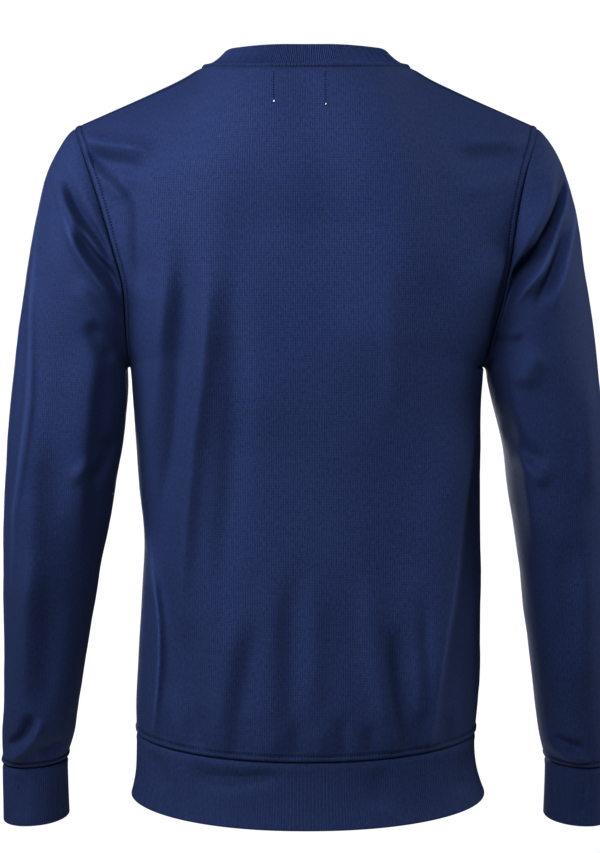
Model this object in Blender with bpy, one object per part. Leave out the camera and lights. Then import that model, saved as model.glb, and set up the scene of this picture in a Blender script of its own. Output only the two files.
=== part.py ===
"""Crewneck sweatshirt in its worn shape, filled out with nobody in it.

Eight pieces of knit cloth, as a maker cuts and sews them: back, front, two
sleeves, neckband, hem band and two cuffs. Metres, +Z up. The origin is the
middle of the neck at the height of the shoulder seams' inner ends. The
wearer faces -Y, and the wearer's left side is +X.
"""
import math

import bpy
import numpy as np

PIECE_COLLECTION = "crewneck_sweatshirt"

# Cloth
BODY_CLOTH = 0.0018
RIB_CLOTH = 0.0030
SEAM_GAP = 0.0003
SEAM_SMOOTHINGS = 2
SPLIT_ORDER = np.array([0.31, 0.17, 1.0])

# Grid of faces: how many steps each stretch of cloth has
HALF_NECK_STEPS = 8
SHOULDER_STEPS = 7
SIDE_SEAM_STEPS = 12
ARMHOLE_STEPS = 14
SLEEVE_STEPS = 26
SLEEVE_STEP_GROWTH = 1.2
BAND_STEPS = 3
HALF_COLUMNS = HALF_NECK_STEPS + SHOULDER_STEPS
EDGE_CALM = 0.5
SHARP_FROM = math.radians(60)
KEY_STEPS_PER_METRE = 1e6
MIRRORED = np.array([-1.0, 1.0, 1.0])

# Heights that the pieces share
UNDERARM_HEIGHT = -0.282
HEM_SEAM_HEIGHT = -0.625
HEM_SEAM_DROP_BACK = 0.008
HEM_SEAM_DROP_FRONT = 0.006
SHOULDER_SAG = 0.0024

# Rows beside the armhole. They turn less round the body as they climb, up
# to the row halfway up the armhole, and rise from there to the shoulders.
HALF_ARMHOLE_CENTRE_HEIGHT = -0.148
HALF_ARMHOLE_TURN = math.radians(54)
TURN_EASE = 0.7
YOKE_ROUND_REACH = 1.6
YOKE_BEND_MIDDLE = 2.2
YOKE_BEND_LOSS = 0.2

# Smoothing of the cloth below each neck point
NECK_POINT_EASE = 0.6
NECK_POINT_EASE_COLUMNS = 3.5
NECK_POINT_EASINGS = 12

# Body sections from the hem seam up to the shoulder blades
BODY_COLUMNS = ("height", "left_reach", "right_reach", "back", "front", "squareness")
BODY_SECTIONS = (
    (-0.625, 0.1600, 0.1600, 0.1065, 0.1065, 2.30),
    (-0.612, 0.1610, 0.1612, 0.1105, 0.1105, 2.30),
    (-0.590, 0.1602, 0.1630, 0.1100, 0.1110, 2.30),
    (-0.541, 0.1575, 0.1645, 0.1065, 0.1090, 2.30),
    (-0.484, 0.1540, 0.1645, 0.1030, 0.1070, 2.30),
    (-0.441, 0.1520, 0.1640, 0.1015, 0.1070, 2.30),
    (-0.398, 0.1560, 0.1636, 0.1030, 0.1090, 2.32),
    (-0.355, 0.1590, 0.1630, 0.1065, 0.1130, 2.35),
    (-0.313, 0.1615, 0.1630, 0.1105, 0.1175, 2.40),
    (-0.282, 0.1640, 0.1640, 0.1130, 0.1195, 2.40),
    (-0.230, 0.1640, 0.1640, 0.1155, 0.1190, 2.35),
    (-0.180, 0.1640, 0.1640, 0.1130, 0.1120, 2.30),
    (-0.148, 0.1640, 0.1640, 0.1085, 0.1040, 2.30),
)

# Armhole seam from the underarm up to the shoulder tip
ARMHOLE_COLUMNS = ("height", "left_reach", "right_reach", "back", "front")
ARMHOLE_SECTIONS = (
    (-0.2820, 0.1640, 0.1640, 0.0000, 0.0000),
    (-0.2700, 0.1646, 0.1668, 0.0260, -0.0290),
    (-0.2400, 0.1655, 0.1738, 0.0460, -0.0500),
    (-0.2050, 0.1668, 0.1815, 0.0590, -0.0600),
    (-0.1710, 0.1752, 0.1868, 0.0640, -0.0600),
    (-0.1390, 0.1844, 0.1915, 0.0620, -0.0540),
    (-0.1050, 0.1956, 0.1990, 0.0530, -0.0400),
    (-0.0800, 0.2050, 0.2068, 0.0400, -0.0240),
    (-0.0650, 0.2112, 0.2116, 0.0240, -0.0080),
    (-0.0606, 0.2130, 0.2130, 0.0080, 0.0080),
)

# Neck seam and the neckband's top edge, right half to the wearer's left,
# from the middle of the back to the middle of the front
NECK_COLUMNS = ("x", "y", "z")
NECK_SEAM = (
    (0.0000, 0.0720, -0.0086),
    (0.0360, 0.0690, -0.0082),
    (0.0680, 0.0550, -0.0068),
    (0.0900, 0.0310, -0.0048),
    (0.0965, 0.0040, -0.0042),
    (0.0930, -0.0210, -0.0130),
    (0.0790, -0.0450, -0.0340),
    (0.0500, -0.0630, -0.0620),
    (0.0000, -0.0710, -0.0790),
)
NECK_TOP = (
    (0.0000, 0.0600, 0.0128),
    (0.0300, 0.0572, 0.0128),
    (0.0550, 0.0430, 0.0122),
    (0.0700, 0.0215, 0.0116),
    (0.0735, 0.0020, 0.0100),
    (0.0700, -0.0190, 0.0030),
    (0.0585, -0.0370, -0.0140),
    (0.0370, -0.0525, -0.0375),
    (0.0000, -0.0600, -0.0560),
)
NECKBAND_HOLLOW = 0.0030

# Sleeve sections from the armhole down to the cuff seam. Reach is the
# distance from the garment's middle, outer is the side away from the body.
SLEEVE_COLUMNS = (
    "outer_reach", "outer_height", "left_inner_reach", "right_inner_reach",
    "inner_height", "middle_y", "half_depth",
)
SLEEVE_SECTIONS = (
    (0.2130, -0.0606, 0.1640, 0.1640, -0.2820, 0.0020, 0.0620),
    (0.2225, -0.0700, 0.1668, 0.1672, -0.2826, 0.0018, 0.0690),
    (0.2345, -0.0890, 0.1678, 0.1690, -0.2860, 0.0015, 0.0720),
    (0.2455, -0.1200, 0.1675, 0.1700, -0.2930, 0.0010, 0.0730),
    (0.2540, -0.1600, 0.1670, 0.1720, -0.3020, 0.0000, 0.0725),
    (0.2615, -0.2030, 0.1675, 0.1755, -0.3150, -0.0010, 0.0710),
    (0.2690, -0.2500, 0.1700, 0.1810, -0.3370, -0.0020, 0.0690),
    (0.2762, -0.3080, 0.1755, 0.1875, -0.3700, -0.0040, 0.0665),
    (0.2822, -0.3720, 0.1832, 0.1940, -0.4150, -0.0070, 0.0635),
    (0.2862, -0.4500, 0.1960, 0.2035, -0.4760, -0.0120, 0.0600),
    (0.2880, -0.5250, 0.2075, 0.2125, -0.5400, -0.0200, 0.0560),
    (0.2910, -0.6000, 0.2190, 0.2215, -0.6050, -0.0320, 0.0510),
    (0.2945, -0.6450, 0.2262, 0.2280, -0.6440, -0.0410, 0.0465),
    (0.2960, -0.6600, 0.2290, 0.2305, -0.6570, -0.0440, 0.0435),
    (0.2945, -0.6680, 0.2328, 0.2338, -0.6640, -0.0460, 0.0395),
)
ARMHOLE_BLEND_STEPS = 7
SLEEVE_SQUARENESS = 2.1

# Hem band and cuff sections from their seams down
HEM_COLUMNS = ("drop", "left_reach", "right_reach", "back", "front")
HEM_SECTIONS = (
    (0.0000, 0.1600, 0.1600, 0.1065, 0.1065),
    (0.0200, 0.1605, 0.1600, 0.1060, 0.1060),
    (0.0400, 0.1615, 0.1625, 0.1075, 0.1070),
    (0.0620, 0.1660, 0.1705, 0.1130, 0.1100),
)
CUFF_DROP = 0.060
CUFF_FLARE = 0.0006
CUFF_FORWARD = 0.006

# Folds as straight stretches seen from behind or in front. A negative depth
# is a trough, a positive one a ridge, and a width is half across the fold.
FOLD_COLUMNS = ("from_x", "from_z", "to_x", "to_z", "half_width", "depth")
BACK_FOLDS = (
    (0.1230, -0.180, 0.1215, -0.430, 0.0120, -0.0045),
    (0.1020, -0.180, 0.1120, -0.570, 0.0140, 0.0040),
    (0.0770, -0.190, 0.0760, -0.430, 0.0140, -0.0030),
    (-0.0110, -0.210, -0.0120, -0.370, 0.0140, -0.0020),
    (-0.1260, -0.180, -0.1280, -0.340, 0.0120, -0.0040),
    (0.1410, -0.440, 0.1360, -0.600, 0.0120, 0.0045),
    (-0.1500, -0.320, -0.1300, -0.520, 0.0120, 0.0050),
    (-0.1300, -0.520, -0.1150, -0.600, 0.0130, 0.0050),
    (-0.1420, -0.540, -0.1400, -0.605, 0.0120, -0.0040),
    (0.1400, -0.118, 0.1750, -0.088, 0.0120, -0.0030),
)
FRONT_FOLDS = (
    (0.1180, -0.200, 0.1130, -0.430, 0.0130, -0.0045),
    (-0.1210, -0.190, -0.1160, -0.400, 0.0130, -0.0042),
    (0.0890, -0.250, 0.0960, -0.560, 0.0150, 0.0036),
    (-0.0850, -0.230, -0.0980, -0.540, 0.0150, 0.0038),
    (0.0250, -0.290, 0.0200, -0.460, 0.0150, -0.0022),
    (0.1400, -0.430, 0.1330, -0.600, 0.0120, 0.0042),
    (-0.1440, -0.450, -0.1350, -0.600, 0.0120, 0.0045),
)
LEFT_SLEEVE_FOLDS = (
    (0.2200, -0.108, 0.1880, -0.160, 0.0125, -0.0065),
    (0.2080, -0.168, 0.1760, -0.222, 0.0150, -0.0105),
    (0.2300, -0.130, 0.2090, -0.170, 0.0125, 0.0038),
    (0.2160, -0.204, 0.1880, -0.245, 0.0120, 0.0050),
    (0.2540, -0.230, 0.2620, -0.420, 0.0120, 0.0035),
    (0.2000, -0.362, 0.2330, -0.350, 0.0120, -0.0035),
    (0.2560, -0.640, 0.2820, -0.625, 0.0110, -0.0030),
)
RIGHT_SLEEVE_FOLDS = (
    (-0.2330, -0.108, -0.2160, -0.148, 0.0140, -0.0062),
    (-0.2170, -0.174, -0.1860, -0.222, 0.0155, -0.0098),
    (-0.2330, -0.190, -0.2100, -0.236, 0.0140, -0.0035),
    (-0.2420, -0.130, -0.2280, -0.180, 0.0130, 0.0035),
    (-0.2150, -0.262, -0.1980, -0.290, 0.0120, 0.0045),
    (-0.2060, -0.352, -0.2320, -0.366, 0.0120, -0.0035),
    (-0.2600, -0.340, -0.2680, -0.460, 0.0120, 0.0035),
)
SLEEVE_FRONT_SHARE = 0.8

# Colours and finish of the two cloths, linear RGB
JERSEY_COLOUR = (0.0223, 0.0372, 0.1119, 1.0)
RIB_COLOUR = (0.0194, 0.0319, 0.0953, 1.0)
CLOTH_ROUGHNESS = 0.85


def column(rows, names, name):
    """One named column of a table."""
    place = names.index(name)
    return np.array([row[place] for row in rows])


def smooth_curve(points, places, stations):
    """Points on the smooth curve that passes each point at its place."""
    points = np.asarray(points, dtype=float)
    slopes = np.gradient(points, places, axis=0)
    result = []
    for station in stations:
        span = int(np.clip(np.searchsorted(places, station) - 1, 0, len(places) - 2))
        length = places[span + 1] - places[span]
        t = np.clip((station - places[span]) / length, 0.0, 1.0)
        start = points[span] * (2 * t**3 - 3 * t**2 + 1) + slopes[span] * length * (t**3 - 2 * t**2 + t)
        end = points[span + 1] * (3 * t**2 - 2 * t**3) + slopes[span + 1] * length * (t**3 - t**2)
        result.append(start + end)
    return np.array(result)


def along(points):
    """Distance travelled along a row of points, from 0 to 1."""
    steps = np.linalg.norm(np.diff(np.asarray(points, dtype=float), axis=0), axis=1)
    travelled = np.concatenate(([0.0], np.cumsum(steps)))
    return travelled / travelled[-1]


def neck_quarter(table, front):
    """Points of a neck line from the middle of one panel to the neck point.
    The line is mirrored past the middle first, so that it crosses it square."""
    rows = np.stack([column(table, NECK_COLUMNS, name) for name in NECK_COLUMNS], axis=1)
    middle = len(rows) // 2
    rows = rows[middle:][::-1] if front else rows[:middle + 1]
    whole = np.concatenate([rows[:0:-1] * MIRRORED, rows])
    stations = np.linspace(0.5, 1.0, HALF_NECK_STEPS + 1)
    return smooth_curve(whole, along(whole), stations)


def armhole(left, front):
    """The armhole seam of one panel, from the underarm to the shoulder tip.
    The other panel's next rows join on, so that the loop turns smoothly."""
    reach = column(ARMHOLE_SECTIONS, ARMHOLE_COLUMNS, "left_reach" if left else "right_reach")
    height = column(ARMHOLE_SECTIONS, ARMHOLE_COLUMNS, "height")
    reach = reach if left else -reach
    own, other = ("front", "back") if front else ("back", "front")
    rows = np.stack([reach, column(ARMHOLE_SECTIONS, ARMHOLE_COLUMNS, own), height], axis=1)
    beyond = np.stack([reach, column(ARMHOLE_SECTIONS, ARMHOLE_COLUMNS, other), height], axis=1)
    whole = np.concatenate([beyond[1:2], rows, beyond[-2:-1]])
    places = along(whole)
    stations = np.linspace(places[1], places[-2], ARMHOLE_STEPS + 1)
    return smooth_curve(whole, places, stations)


def fold_relief(points, folds):
    """How far a set of folds lifts each point, seen along Y."""
    lift = np.zeros(points.shape[:-1])
    for row in folds:
        fold = dict(zip(FOLD_COLUMNS, row))
        start = np.array([fold["from_x"], fold["from_z"]])
        run = np.array([fold["to_x"], fold["to_z"]]) - start
        away = points[..., [0, 2]] - start
        share = np.clip(away @ run / (run @ run), 0.0, 1.0)
        off = np.linalg.norm(away - share[..., None] * run, axis=-1)
        lift += fold["depth"] * np.exp(-((off / fold["half_width"]) ** 2))
    return lift


def grid_normals(grid, closed):
    """Unit normals of a grid of points, rows by columns."""
    up = np.gradient(grid, axis=0)
    if closed:
        across = np.roll(grid, -1, axis=1) - np.roll(grid, 1, axis=1)
    else:
        across = np.gradient(grid, axis=1)
    normals = np.cross(across, up)
    return normals / np.linalg.norm(normals, axis=-1, keepdims=True)


def section_at(height):
    """The body's section at a height, as its named columns after height."""
    heights = column(BODY_SECTIONS, BODY_COLUMNS, "height")
    values = smooth_curve(np.array(BODY_SECTIONS)[:, 1:], heights, [height])[0]
    return dict(zip(BODY_COLUMNS[1:], values))


def body_row(middle, edge, turn, power):
    """Half a row of a panel, from its middle point out to its edge point."""
    angles = np.linspace(0.0, turn, HALF_COLUMNS + 1)
    sideways = (np.sin(angles) / math.sin(turn)) ** power
    last = max(math.cos(turn), 0.0) ** power
    depthways = (np.maximum(np.cos(angles), 0.0) ** power - last) / (1.0 - last)
    x = middle[0] + (edge[0] - middle[0]) * sideways
    y = edge[1] + (middle[1] - edge[1]) * depthways
    z = middle[2] + (edge[2] - middle[2]) * sideways**2
    return np.stack([x, y, z], axis=1)


def half_panel(left, front):
    """Half of the back or the front, rows from the hem seam to the top."""
    side = 1.0 if left else -1.0
    facing = -1.0 if front else 1.0
    drop = HEM_SEAM_DROP_FRONT if front else HEM_SEAM_DROP_BACK
    depth = "front" if front else "back"
    reach = "left_reach" if left else "right_reach"
    rows = []
    for height in np.linspace(HEM_SEAM_HEIGHT, UNDERARM_HEIGHT, SIDE_SEAM_STEPS + 1):
        section = section_at(height)
        share = (UNDERARM_HEIGHT - height) / (UNDERARM_HEIGHT - HEM_SEAM_HEIGHT)
        middle = (0.0, facing * section[depth], height - drop * share**2)
        edge = (side * section[reach], 0.0, height)
        rows.append(body_row(middle, edge, math.pi / 2, 2.0 / section["squareness"]))
    seam = armhole(left, front)
    half = ARMHOLE_STEPS // 2
    for step in range(1, half + 1):
        share = step / half
        height = UNDERARM_HEIGHT + (HALF_ARMHOLE_CENTRE_HEIGHT - UNDERARM_HEIGHT) * share
        section = section_at(height)
        turn = math.pi / 2 + (HALF_ARMHOLE_TURN - math.pi / 2) * share**TURN_EASE
        middle = (0.0, facing * section[depth], height)
        rows.append(body_row(middle, seam[step], turn, 2.0 / section["squareness"]))
    base = rows[-1]
    neck = neck_quarter(NECK_SEAM, front) * (side, 1.0, 1.0)
    shoulder = np.linspace(neck[-1], seam[-1], SHOULDER_STEPS + 1)
    across = np.linspace(0.0, 1.0, SHOULDER_STEPS + 1)
    shoulder[:, 2] -= SHOULDER_SAG * np.sin(math.pi * np.sqrt(across))
    top = np.concatenate([neck, shoulder[1:]])
    sideways = np.linspace(0.0, 1.0, HALF_COLUMNS + 1)[:, None]
    roundness = np.clip(sideways * YOKE_ROUND_REACH, 0.0, 1.0)
    bend = YOKE_BEND_MIDDLE - YOKE_BEND_LOSS * roundness
    for step in range(1, ARMHOLE_STEPS - half + 1):
        share = step / (ARMHOLE_STEPS - half)
        climb = share + roundness * (math.sin(share * math.pi / 2) - share)
        hold = np.maximum(1.0 - climb**bend, 0.0) ** (1.0 / (1.0 + roundness))
        row = base + (top - base) * climb
        row[:, 1] = (top[:, 1:2] + (base[:, 1:2] - top[:, 1:2]) * hold)[:, 0]
        own = seam[half + step] - row[-1]
        rows.append(row + own * sideways**2)
    return np.array(rows)


def relax(grid):
    """Let the cloth below each neck point lie smooth, edges held."""
    rows = np.arange(len(grid))[1:-1, None]
    columns = np.arange(grid.shape[1])[None, 1:-1]
    off = np.minimum(abs(columns - SHOULDER_STEPS), abs(columns - SHOULDER_STEPS - 2 * HALF_NECK_STEPS))
    climb = np.clip((rows - SIDE_SEAM_STEPS) / ARMHOLE_STEPS, 0.0, 1.0)
    near = np.exp(-((off / NECK_POINT_EASE_COLUMNS) ** 2))
    ease = (NECK_POINT_EASE * climb * near)[..., None]
    for _ in range(NECK_POINT_EASINGS):
        around = grid[:-2, 1:-1] + grid[2:, 1:-1] + grid[1:-1, :-2] + grid[1:-1, 2:]
        grid[1:-1, 1:-1] += ease * (around / 4 - grid[1:-1, 1:-1])
    return grid


def panel(front, folds):
    """The back or the front as a grid, from the right side to the left."""
    right = half_panel(False, front)
    left = half_panel(True, front)
    grid = relax(np.concatenate([right[:, :0:-1], left], axis=1))
    normals = grid_normals(grid, False)
    away = normals * (1.0 if front else -1.0)
    lift = fold_relief(grid, folds) * np.clip(np.abs(normals[..., 1]), 0.0, 1.0) ** 2
    calm = np.ones(grid.shape[:2])
    calm[:, [0, -1]] = 0.0
    calm[[0, -1], :] = 0.0
    calm[:, [1, -2]] = EDGE_CALM
    calm[[1, -2], :] *= EDGE_CALM
    return grid + away * (lift * calm)[..., None]


def sleeve_loop(back, front, left):
    """The armhole seam as a loop: shoulder tip, back, underarm, front."""
    edge = -1 if left else 0
    down_back = back[:SIDE_SEAM_STEPS - 1:-1, edge]
    up_front = front[SIDE_SEAM_STEPS + 1:-1, edge]
    return np.concatenate([down_back, up_front])


def sleeve_sections(left):
    """One sleeve's sections at even steps, closer together at the armhole.
    Each is the outer point, the inner point, the middle and half the depth."""
    inner = "left_inner_reach" if left else "right_inner_reach"
    names = ("outer_reach", "outer_height", inner, "inner_height", "middle_y", "half_depth")
    table = np.stack([column(SLEEVE_SECTIONS, SLEEVE_COLUMNS, name) for name in names], axis=1)
    centres = (table[:, 0:2] + table[:, 2:4]) / 2
    stations = np.linspace(0.0, 1.0, SLEEVE_STEPS + 1) ** SLEEVE_STEP_GROWTH
    return smooth_curve(table, along(centres), stations)


def sleeve(back, front, left, folds):
    """A sleeve as rings, turned so that they run from the cuff seam up."""
    side = 1.0 if left else -1.0
    sections = sleeve_sections(left)
    seam = sleeve_loop(back, front, left)
    turns = np.linspace(0.0, 2 * math.pi, 2 * ARMHOLE_STEPS, endpoint=False)
    power = 2.0 / SLEEVE_SQUARENESS
    swing = np.sign(np.cos(turns)) * np.abs(np.cos(turns)) ** power
    swell = np.sign(np.sin(turns)) * np.abs(np.sin(turns)) ** power
    rings = []
    for outer_x, outer_z, inner_x, inner_z, middle_y, half_depth in sections:
        x = side * ((outer_x + inner_x) / 2 + (outer_x - inner_x) / 2 * swing)
        z = (outer_z + inner_z) / 2 + (outer_z - inner_z) / 2 * swing
        rings.append(np.stack([x, middle_y + half_depth * swell, z], axis=1))
    rings = np.array(rings)
    own = seam - rings[0]
    for step in range(ARMHOLE_BLEND_STEPS):
        rings[step] += own * (1.0 - step / ARMHOLE_BLEND_STEPS) ** 2
    order = rings[::-1] if left else rings[::-1, ::-1]
    normals = grid_normals(order, True)
    behind = fold_relief(order, folds) * np.clip(normals[..., 1], 0.0, 1.0)
    before = fold_relief(order, folds) * np.clip(-normals[..., 1], 0.0, 1.0) * SLEEVE_FRONT_SHARE
    calm = np.ones(len(order))
    calm[[0, -1]] = 0.0
    calm[[1, -2]] = EDGE_CALM
    return order + normals * ((behind + before) * calm[:, None])[..., None]


def neckband(back, front):
    """The neckband as rings from the neck seam up to its folded top edge."""
    inner = slice(SHOULDER_STEPS, SHOULDER_STEPS + 2 * HALF_NECK_STEPS + 1)
    seam = np.concatenate([back[-1, inner], front[-1, inner][-2:0:-1]])
    back_top = neck_quarter(NECK_TOP, False)
    front_top = neck_quarter(NECK_TOP, True)
    top = np.concatenate([
        back_top[:0:-1] * MIRRORED, back_top, front_top[-2:0:-1], front_top[:-1] * MIRRORED,
    ])
    rings = []
    for share in np.linspace(0.0, 1.0, BAND_STEPS + 1):
        ring = seam + (top - seam) * share
        ring[:, 2] -= NECKBAND_HOLLOW * 4 * share * (1 - share)
        rings.append(ring[::-1])
    return np.array(rings)


def hem_band(back, front):
    """The hem band as rings from its open edge up to the hem seam."""
    seam = np.concatenate([back[0], front[0, -2:0:-1]])
    first = dict(zip(HEM_COLUMNS, HEM_SECTIONS[0]))
    rings = []
    for row in reversed(HEM_SECTIONS):
        section = dict(zip(HEM_COLUMNS, row))
        grown = {name: section[name] / first[name] for name in HEM_COLUMNS[1:]}
        wide = np.where(seam[:, 0] >= 0.0, grown["left_reach"], grown["right_reach"])
        deep = np.where(seam[:, 1] >= 0.0, grown["back"], grown["front"])
        ring = seam * np.stack([wide, deep, np.ones(len(seam))], axis=1)
        ring[:, 2] -= section["drop"]
        rings.append(ring[::-1])
    return np.array(rings)


def cuff(sleeve_rings):
    """A cuff as rings from its open edge up to the cuff seam."""
    seam = sleeve_rings[0]
    middle = seam.mean(axis=0)
    rings = []
    for share in np.linspace(1.0, 0.0, BAND_STEPS + 1):
        away = (seam - middle) * (1.0, 1.0, 0.0)
        away /= np.linalg.norm(away, axis=1, keepdims=True)
        ring = seam + away * CUFF_FLARE * share**2
        ring[:, 1] -= CUFF_FORWARD * share
        ring[:, 2] -= CUFF_DROP * share
        rings.append(ring)
    return np.array(rings)


def key(point):
    """A point's place, rounded so that two pieces' shared points agree."""
    return tuple(int(round(value * KEY_STEPS_PER_METRE)) for value in point)


def share_normals(pieces):
    """Give points that meet at a seam one normal, so that walls butt flat,
    and let it turn slowly along the rings that the tubes end in."""
    sums = {}
    for piece in pieces.values():
        for point, normal in zip(piece["outer"].reshape(-1, 3), piece["normals"].reshape(-1, 3)):
            place = key(point)
            sums[place] = sums.get(place, np.zeros(3)) + normal
    for place, total in sums.items():
        sums[place] = total / np.linalg.norm(total)
    for piece in pieces.values():
        for end in (0, -1):
            if piece["closed"]:
                places = [key(point) for point in piece["outer"][end]]
                ring = np.array([sums[place] for place in places])
                for _ in range(SEAM_SMOOTHINGS):
                    ring = (2 * ring + np.roll(ring, 1, axis=0) + np.roll(ring, -1, axis=0)) / 4
                for place, normal in zip(places, ring):
                    sums[place] = normal / np.linalg.norm(normal)
    for piece in pieces.values():
        shared = np.array([sums[key(point)] for point in piece["outer"].reshape(-1, 3)])
        piece["normals"] = shared.reshape(piece["outer"].shape)


def draw_back(piece):
    """Pull a piece's edges back by half the seam gap, along its own cloth."""
    outer = piece["outer"].copy()

    def toward(start, end):
        step = end - start
        return step / np.linalg.norm(step, axis=-1, keepdims=True) * SEAM_GAP / 2

    moved = outer.copy()
    moved[0] += toward(outer[0], outer[1])
    moved[-1] += toward(outer[-1], outer[-2])
    if not piece["closed"]:
        moved[:, 0] += toward(outer[:, 0], outer[:, 1])
        moved[:, -1] += toward(outer[:, -1], outer[:, -2])
    piece["outer"] = moved


def edge_faces(points, outer_a, outer_b, inner_b, inner_a):
    """Two triangles across a wall's edge. The split starts at the higher
    point, so the edges of two pieces that meet at a seam are split alike."""
    lean = points[outer_a] @ SPLIT_ORDER - points[outer_b] @ SPLIT_ORDER
    if lean > 0.0:
        return [(outer_a, outer_b, inner_b), (outer_a, inner_b, inner_a)]
    return [(outer_a, outer_b, inner_a), (outer_b, inner_b, inner_a)]


def side_faces(points, a, b, c, d, layer):
    """One square of cloth, its outer and inner side split on one diagonal,
    the shorter one outside, so that a twisted square keeps its thickness."""
    if np.linalg.norm(points[a] - points[c]) < np.linalg.norm(points[b] - points[d]):
        outer = [(a, b, c), (a, c, d)]
    else:
        outer = [(a, b, d), (b, c, d)]
    return outer + [tuple(layer + corner for corner in reversed(face)) for face in outer]


def wall_faces(points, rows, columns, closed):
    """Faces of a wall: outer side, inner side and the edges between them."""
    across = columns if closed else columns - 1
    layer = rows * columns
    last = layer - columns
    faces = []
    for start in range(0, last, columns):
        for place in range(across):
            a = start + place
            b = start + (place + 1) % columns
            faces += side_faces(points, a, b, b + columns, a + columns, layer)
    for a in range(across):
        b = (a + 1) % columns
        faces += edge_faces(points, b, a, layer + a, layer + b)
        faces += edge_faces(points, last + a, last + b, layer + last + b, layer + last + a)
    if not closed:
        for a in range(0, last, columns):
            b = a + columns
            faces += edge_faces(points, a, b, layer + b, layer + a)
            end = a + columns - 1
            faces += edge_faces(points, end + columns, end, layer + end, layer + end + columns)
    return faces


def cloth_material(name, colour):
    """A matte knit in one colour."""
    material = bpy.data.materials.new(name)
    material.use_nodes = True
    shader = material.node_tree.nodes["Principled BSDF"]
    shader.inputs["Base Color"].default_value = colour
    shader.inputs["Roughness"].default_value = CLOTH_ROUGHNESS
    shader.inputs["Metallic"].default_value = 0.0
    return material


def make_piece(name, piece, collection):
    """Turn a grid into a closed wall of cloth. It is a loft between unlike
    sections, with one normal shared at each seam, so its faces are made here."""
    outer = piece["outer"]
    inner = outer - piece["normals"] * piece["cloth"]
    points = np.concatenate([outer.reshape(-1, 3), inner.reshape(-1, 3)])
    mesh = bpy.data.meshes.new(name)
    rows, columns = outer.shape[:2]
    mesh.from_pydata(points.tolist(), [], wall_faces(points, rows, columns, piece["closed"]))
    mesh.shade_smooth()
    mesh.set_sharp_from_angle(angle=SHARP_FROM)
    mesh.materials.append(cloth_material(name, piece["colour"]))
    collection.objects.link(bpy.data.objects.new(name, mesh))


def main():
    for old in list(bpy.data.objects):
        bpy.data.objects.remove(old)
    collection = bpy.data.collections.new(PIECE_COLLECTION)
    bpy.context.scene.collection.children.link(collection)

    back = panel(False, BACK_FOLDS)
    front = panel(True, FRONT_FOLDS)
    left_sleeve = sleeve(back, front, True, LEFT_SLEEVE_FOLDS)
    right_sleeve = sleeve(back, front, False, RIGHT_SLEEVE_FOLDS)
    shapes = {
        "back": (back[:, ::-1], False, BODY_CLOTH, JERSEY_COLOUR),
        "front": (front, False, BODY_CLOTH, JERSEY_COLOUR),
        "left_sleeve": (left_sleeve, True, BODY_CLOTH, JERSEY_COLOUR),
        "right_sleeve": (right_sleeve, True, BODY_CLOTH, JERSEY_COLOUR),
        "neckband": (neckband(back, front), True, RIB_CLOTH, RIB_COLOUR),
        "hem_band": (hem_band(back, front), True, RIB_CLOTH, RIB_COLOUR),
        "left_cuff": (cuff(left_sleeve), True, RIB_CLOTH, RIB_COLOUR),
        "right_cuff": (cuff(right_sleeve), True, RIB_CLOTH, RIB_COLOUR),
    }
    pieces = {}
    for name, (grid, closed, cloth, colour) in shapes.items():
        pieces[name] = {
            "outer": grid, "normals": grid_normals(grid, closed),
            "closed": closed, "cloth": cloth, "colour": colour,
        }
    share_normals(pieces)
    for name, piece in pieces.items():
        draw_back(piece)
        make_piece(name, piece, collection)


main()
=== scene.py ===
# %% [markdown]
# # A navy crewneck sweatshirt in Blender
# This lesson dresses the solid model of a sweatshirt that is filled out in its worn
# shape and seen from behind. On the real garment eight pieces of knit cloth are sewn
# together, and what makes it look real is how that cloth hangs: a few long folds, the
# pulled creases under the arms, and seams that stand a little proud. One could drape
# all of it in a simulation. Here each piece is shaped from its own sections instead,
# because the photograph shows exactly where every fold lies.

# %% Load the fixed frame
import math

import bpy
import numpy as np
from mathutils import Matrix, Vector


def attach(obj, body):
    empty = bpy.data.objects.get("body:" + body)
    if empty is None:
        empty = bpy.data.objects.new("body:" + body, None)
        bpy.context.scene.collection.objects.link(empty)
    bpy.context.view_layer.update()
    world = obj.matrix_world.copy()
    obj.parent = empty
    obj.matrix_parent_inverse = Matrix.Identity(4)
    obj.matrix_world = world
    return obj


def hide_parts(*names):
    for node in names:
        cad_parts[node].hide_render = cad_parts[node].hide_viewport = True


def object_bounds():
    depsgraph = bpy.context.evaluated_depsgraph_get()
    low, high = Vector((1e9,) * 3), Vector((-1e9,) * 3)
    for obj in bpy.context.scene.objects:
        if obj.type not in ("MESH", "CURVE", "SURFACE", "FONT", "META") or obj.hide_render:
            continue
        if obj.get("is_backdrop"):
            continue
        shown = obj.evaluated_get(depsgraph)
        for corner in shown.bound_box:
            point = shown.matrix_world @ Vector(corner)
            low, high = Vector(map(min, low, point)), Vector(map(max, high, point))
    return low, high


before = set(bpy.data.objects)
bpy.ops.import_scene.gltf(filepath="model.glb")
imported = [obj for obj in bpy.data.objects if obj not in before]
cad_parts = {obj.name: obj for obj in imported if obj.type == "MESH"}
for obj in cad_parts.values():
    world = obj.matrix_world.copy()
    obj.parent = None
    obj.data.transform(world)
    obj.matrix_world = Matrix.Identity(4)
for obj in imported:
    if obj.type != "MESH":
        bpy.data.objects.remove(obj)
cad_low, cad_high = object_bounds()
bpy.ops.object.select_all(action="DESELECT")
print("solid model", [round(value, 3) for value in cad_high - cad_low])

# %% [markdown]
# ## The camera
# The photograph was taken from behind, at the height of the shoulder blades, with a
# long lens that looks slightly down. A camera could be aimed with a constraint, but a
# plain place and turn keep it easy to move round the garment afterwards.

# %% Camera at the photograph's angle
CAMERA_PLACE = (0.0056, 1.950, -0.172)
CAMERA_TILT = math.radians(85.137)
CAMERA_LENS = 87.87

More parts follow.
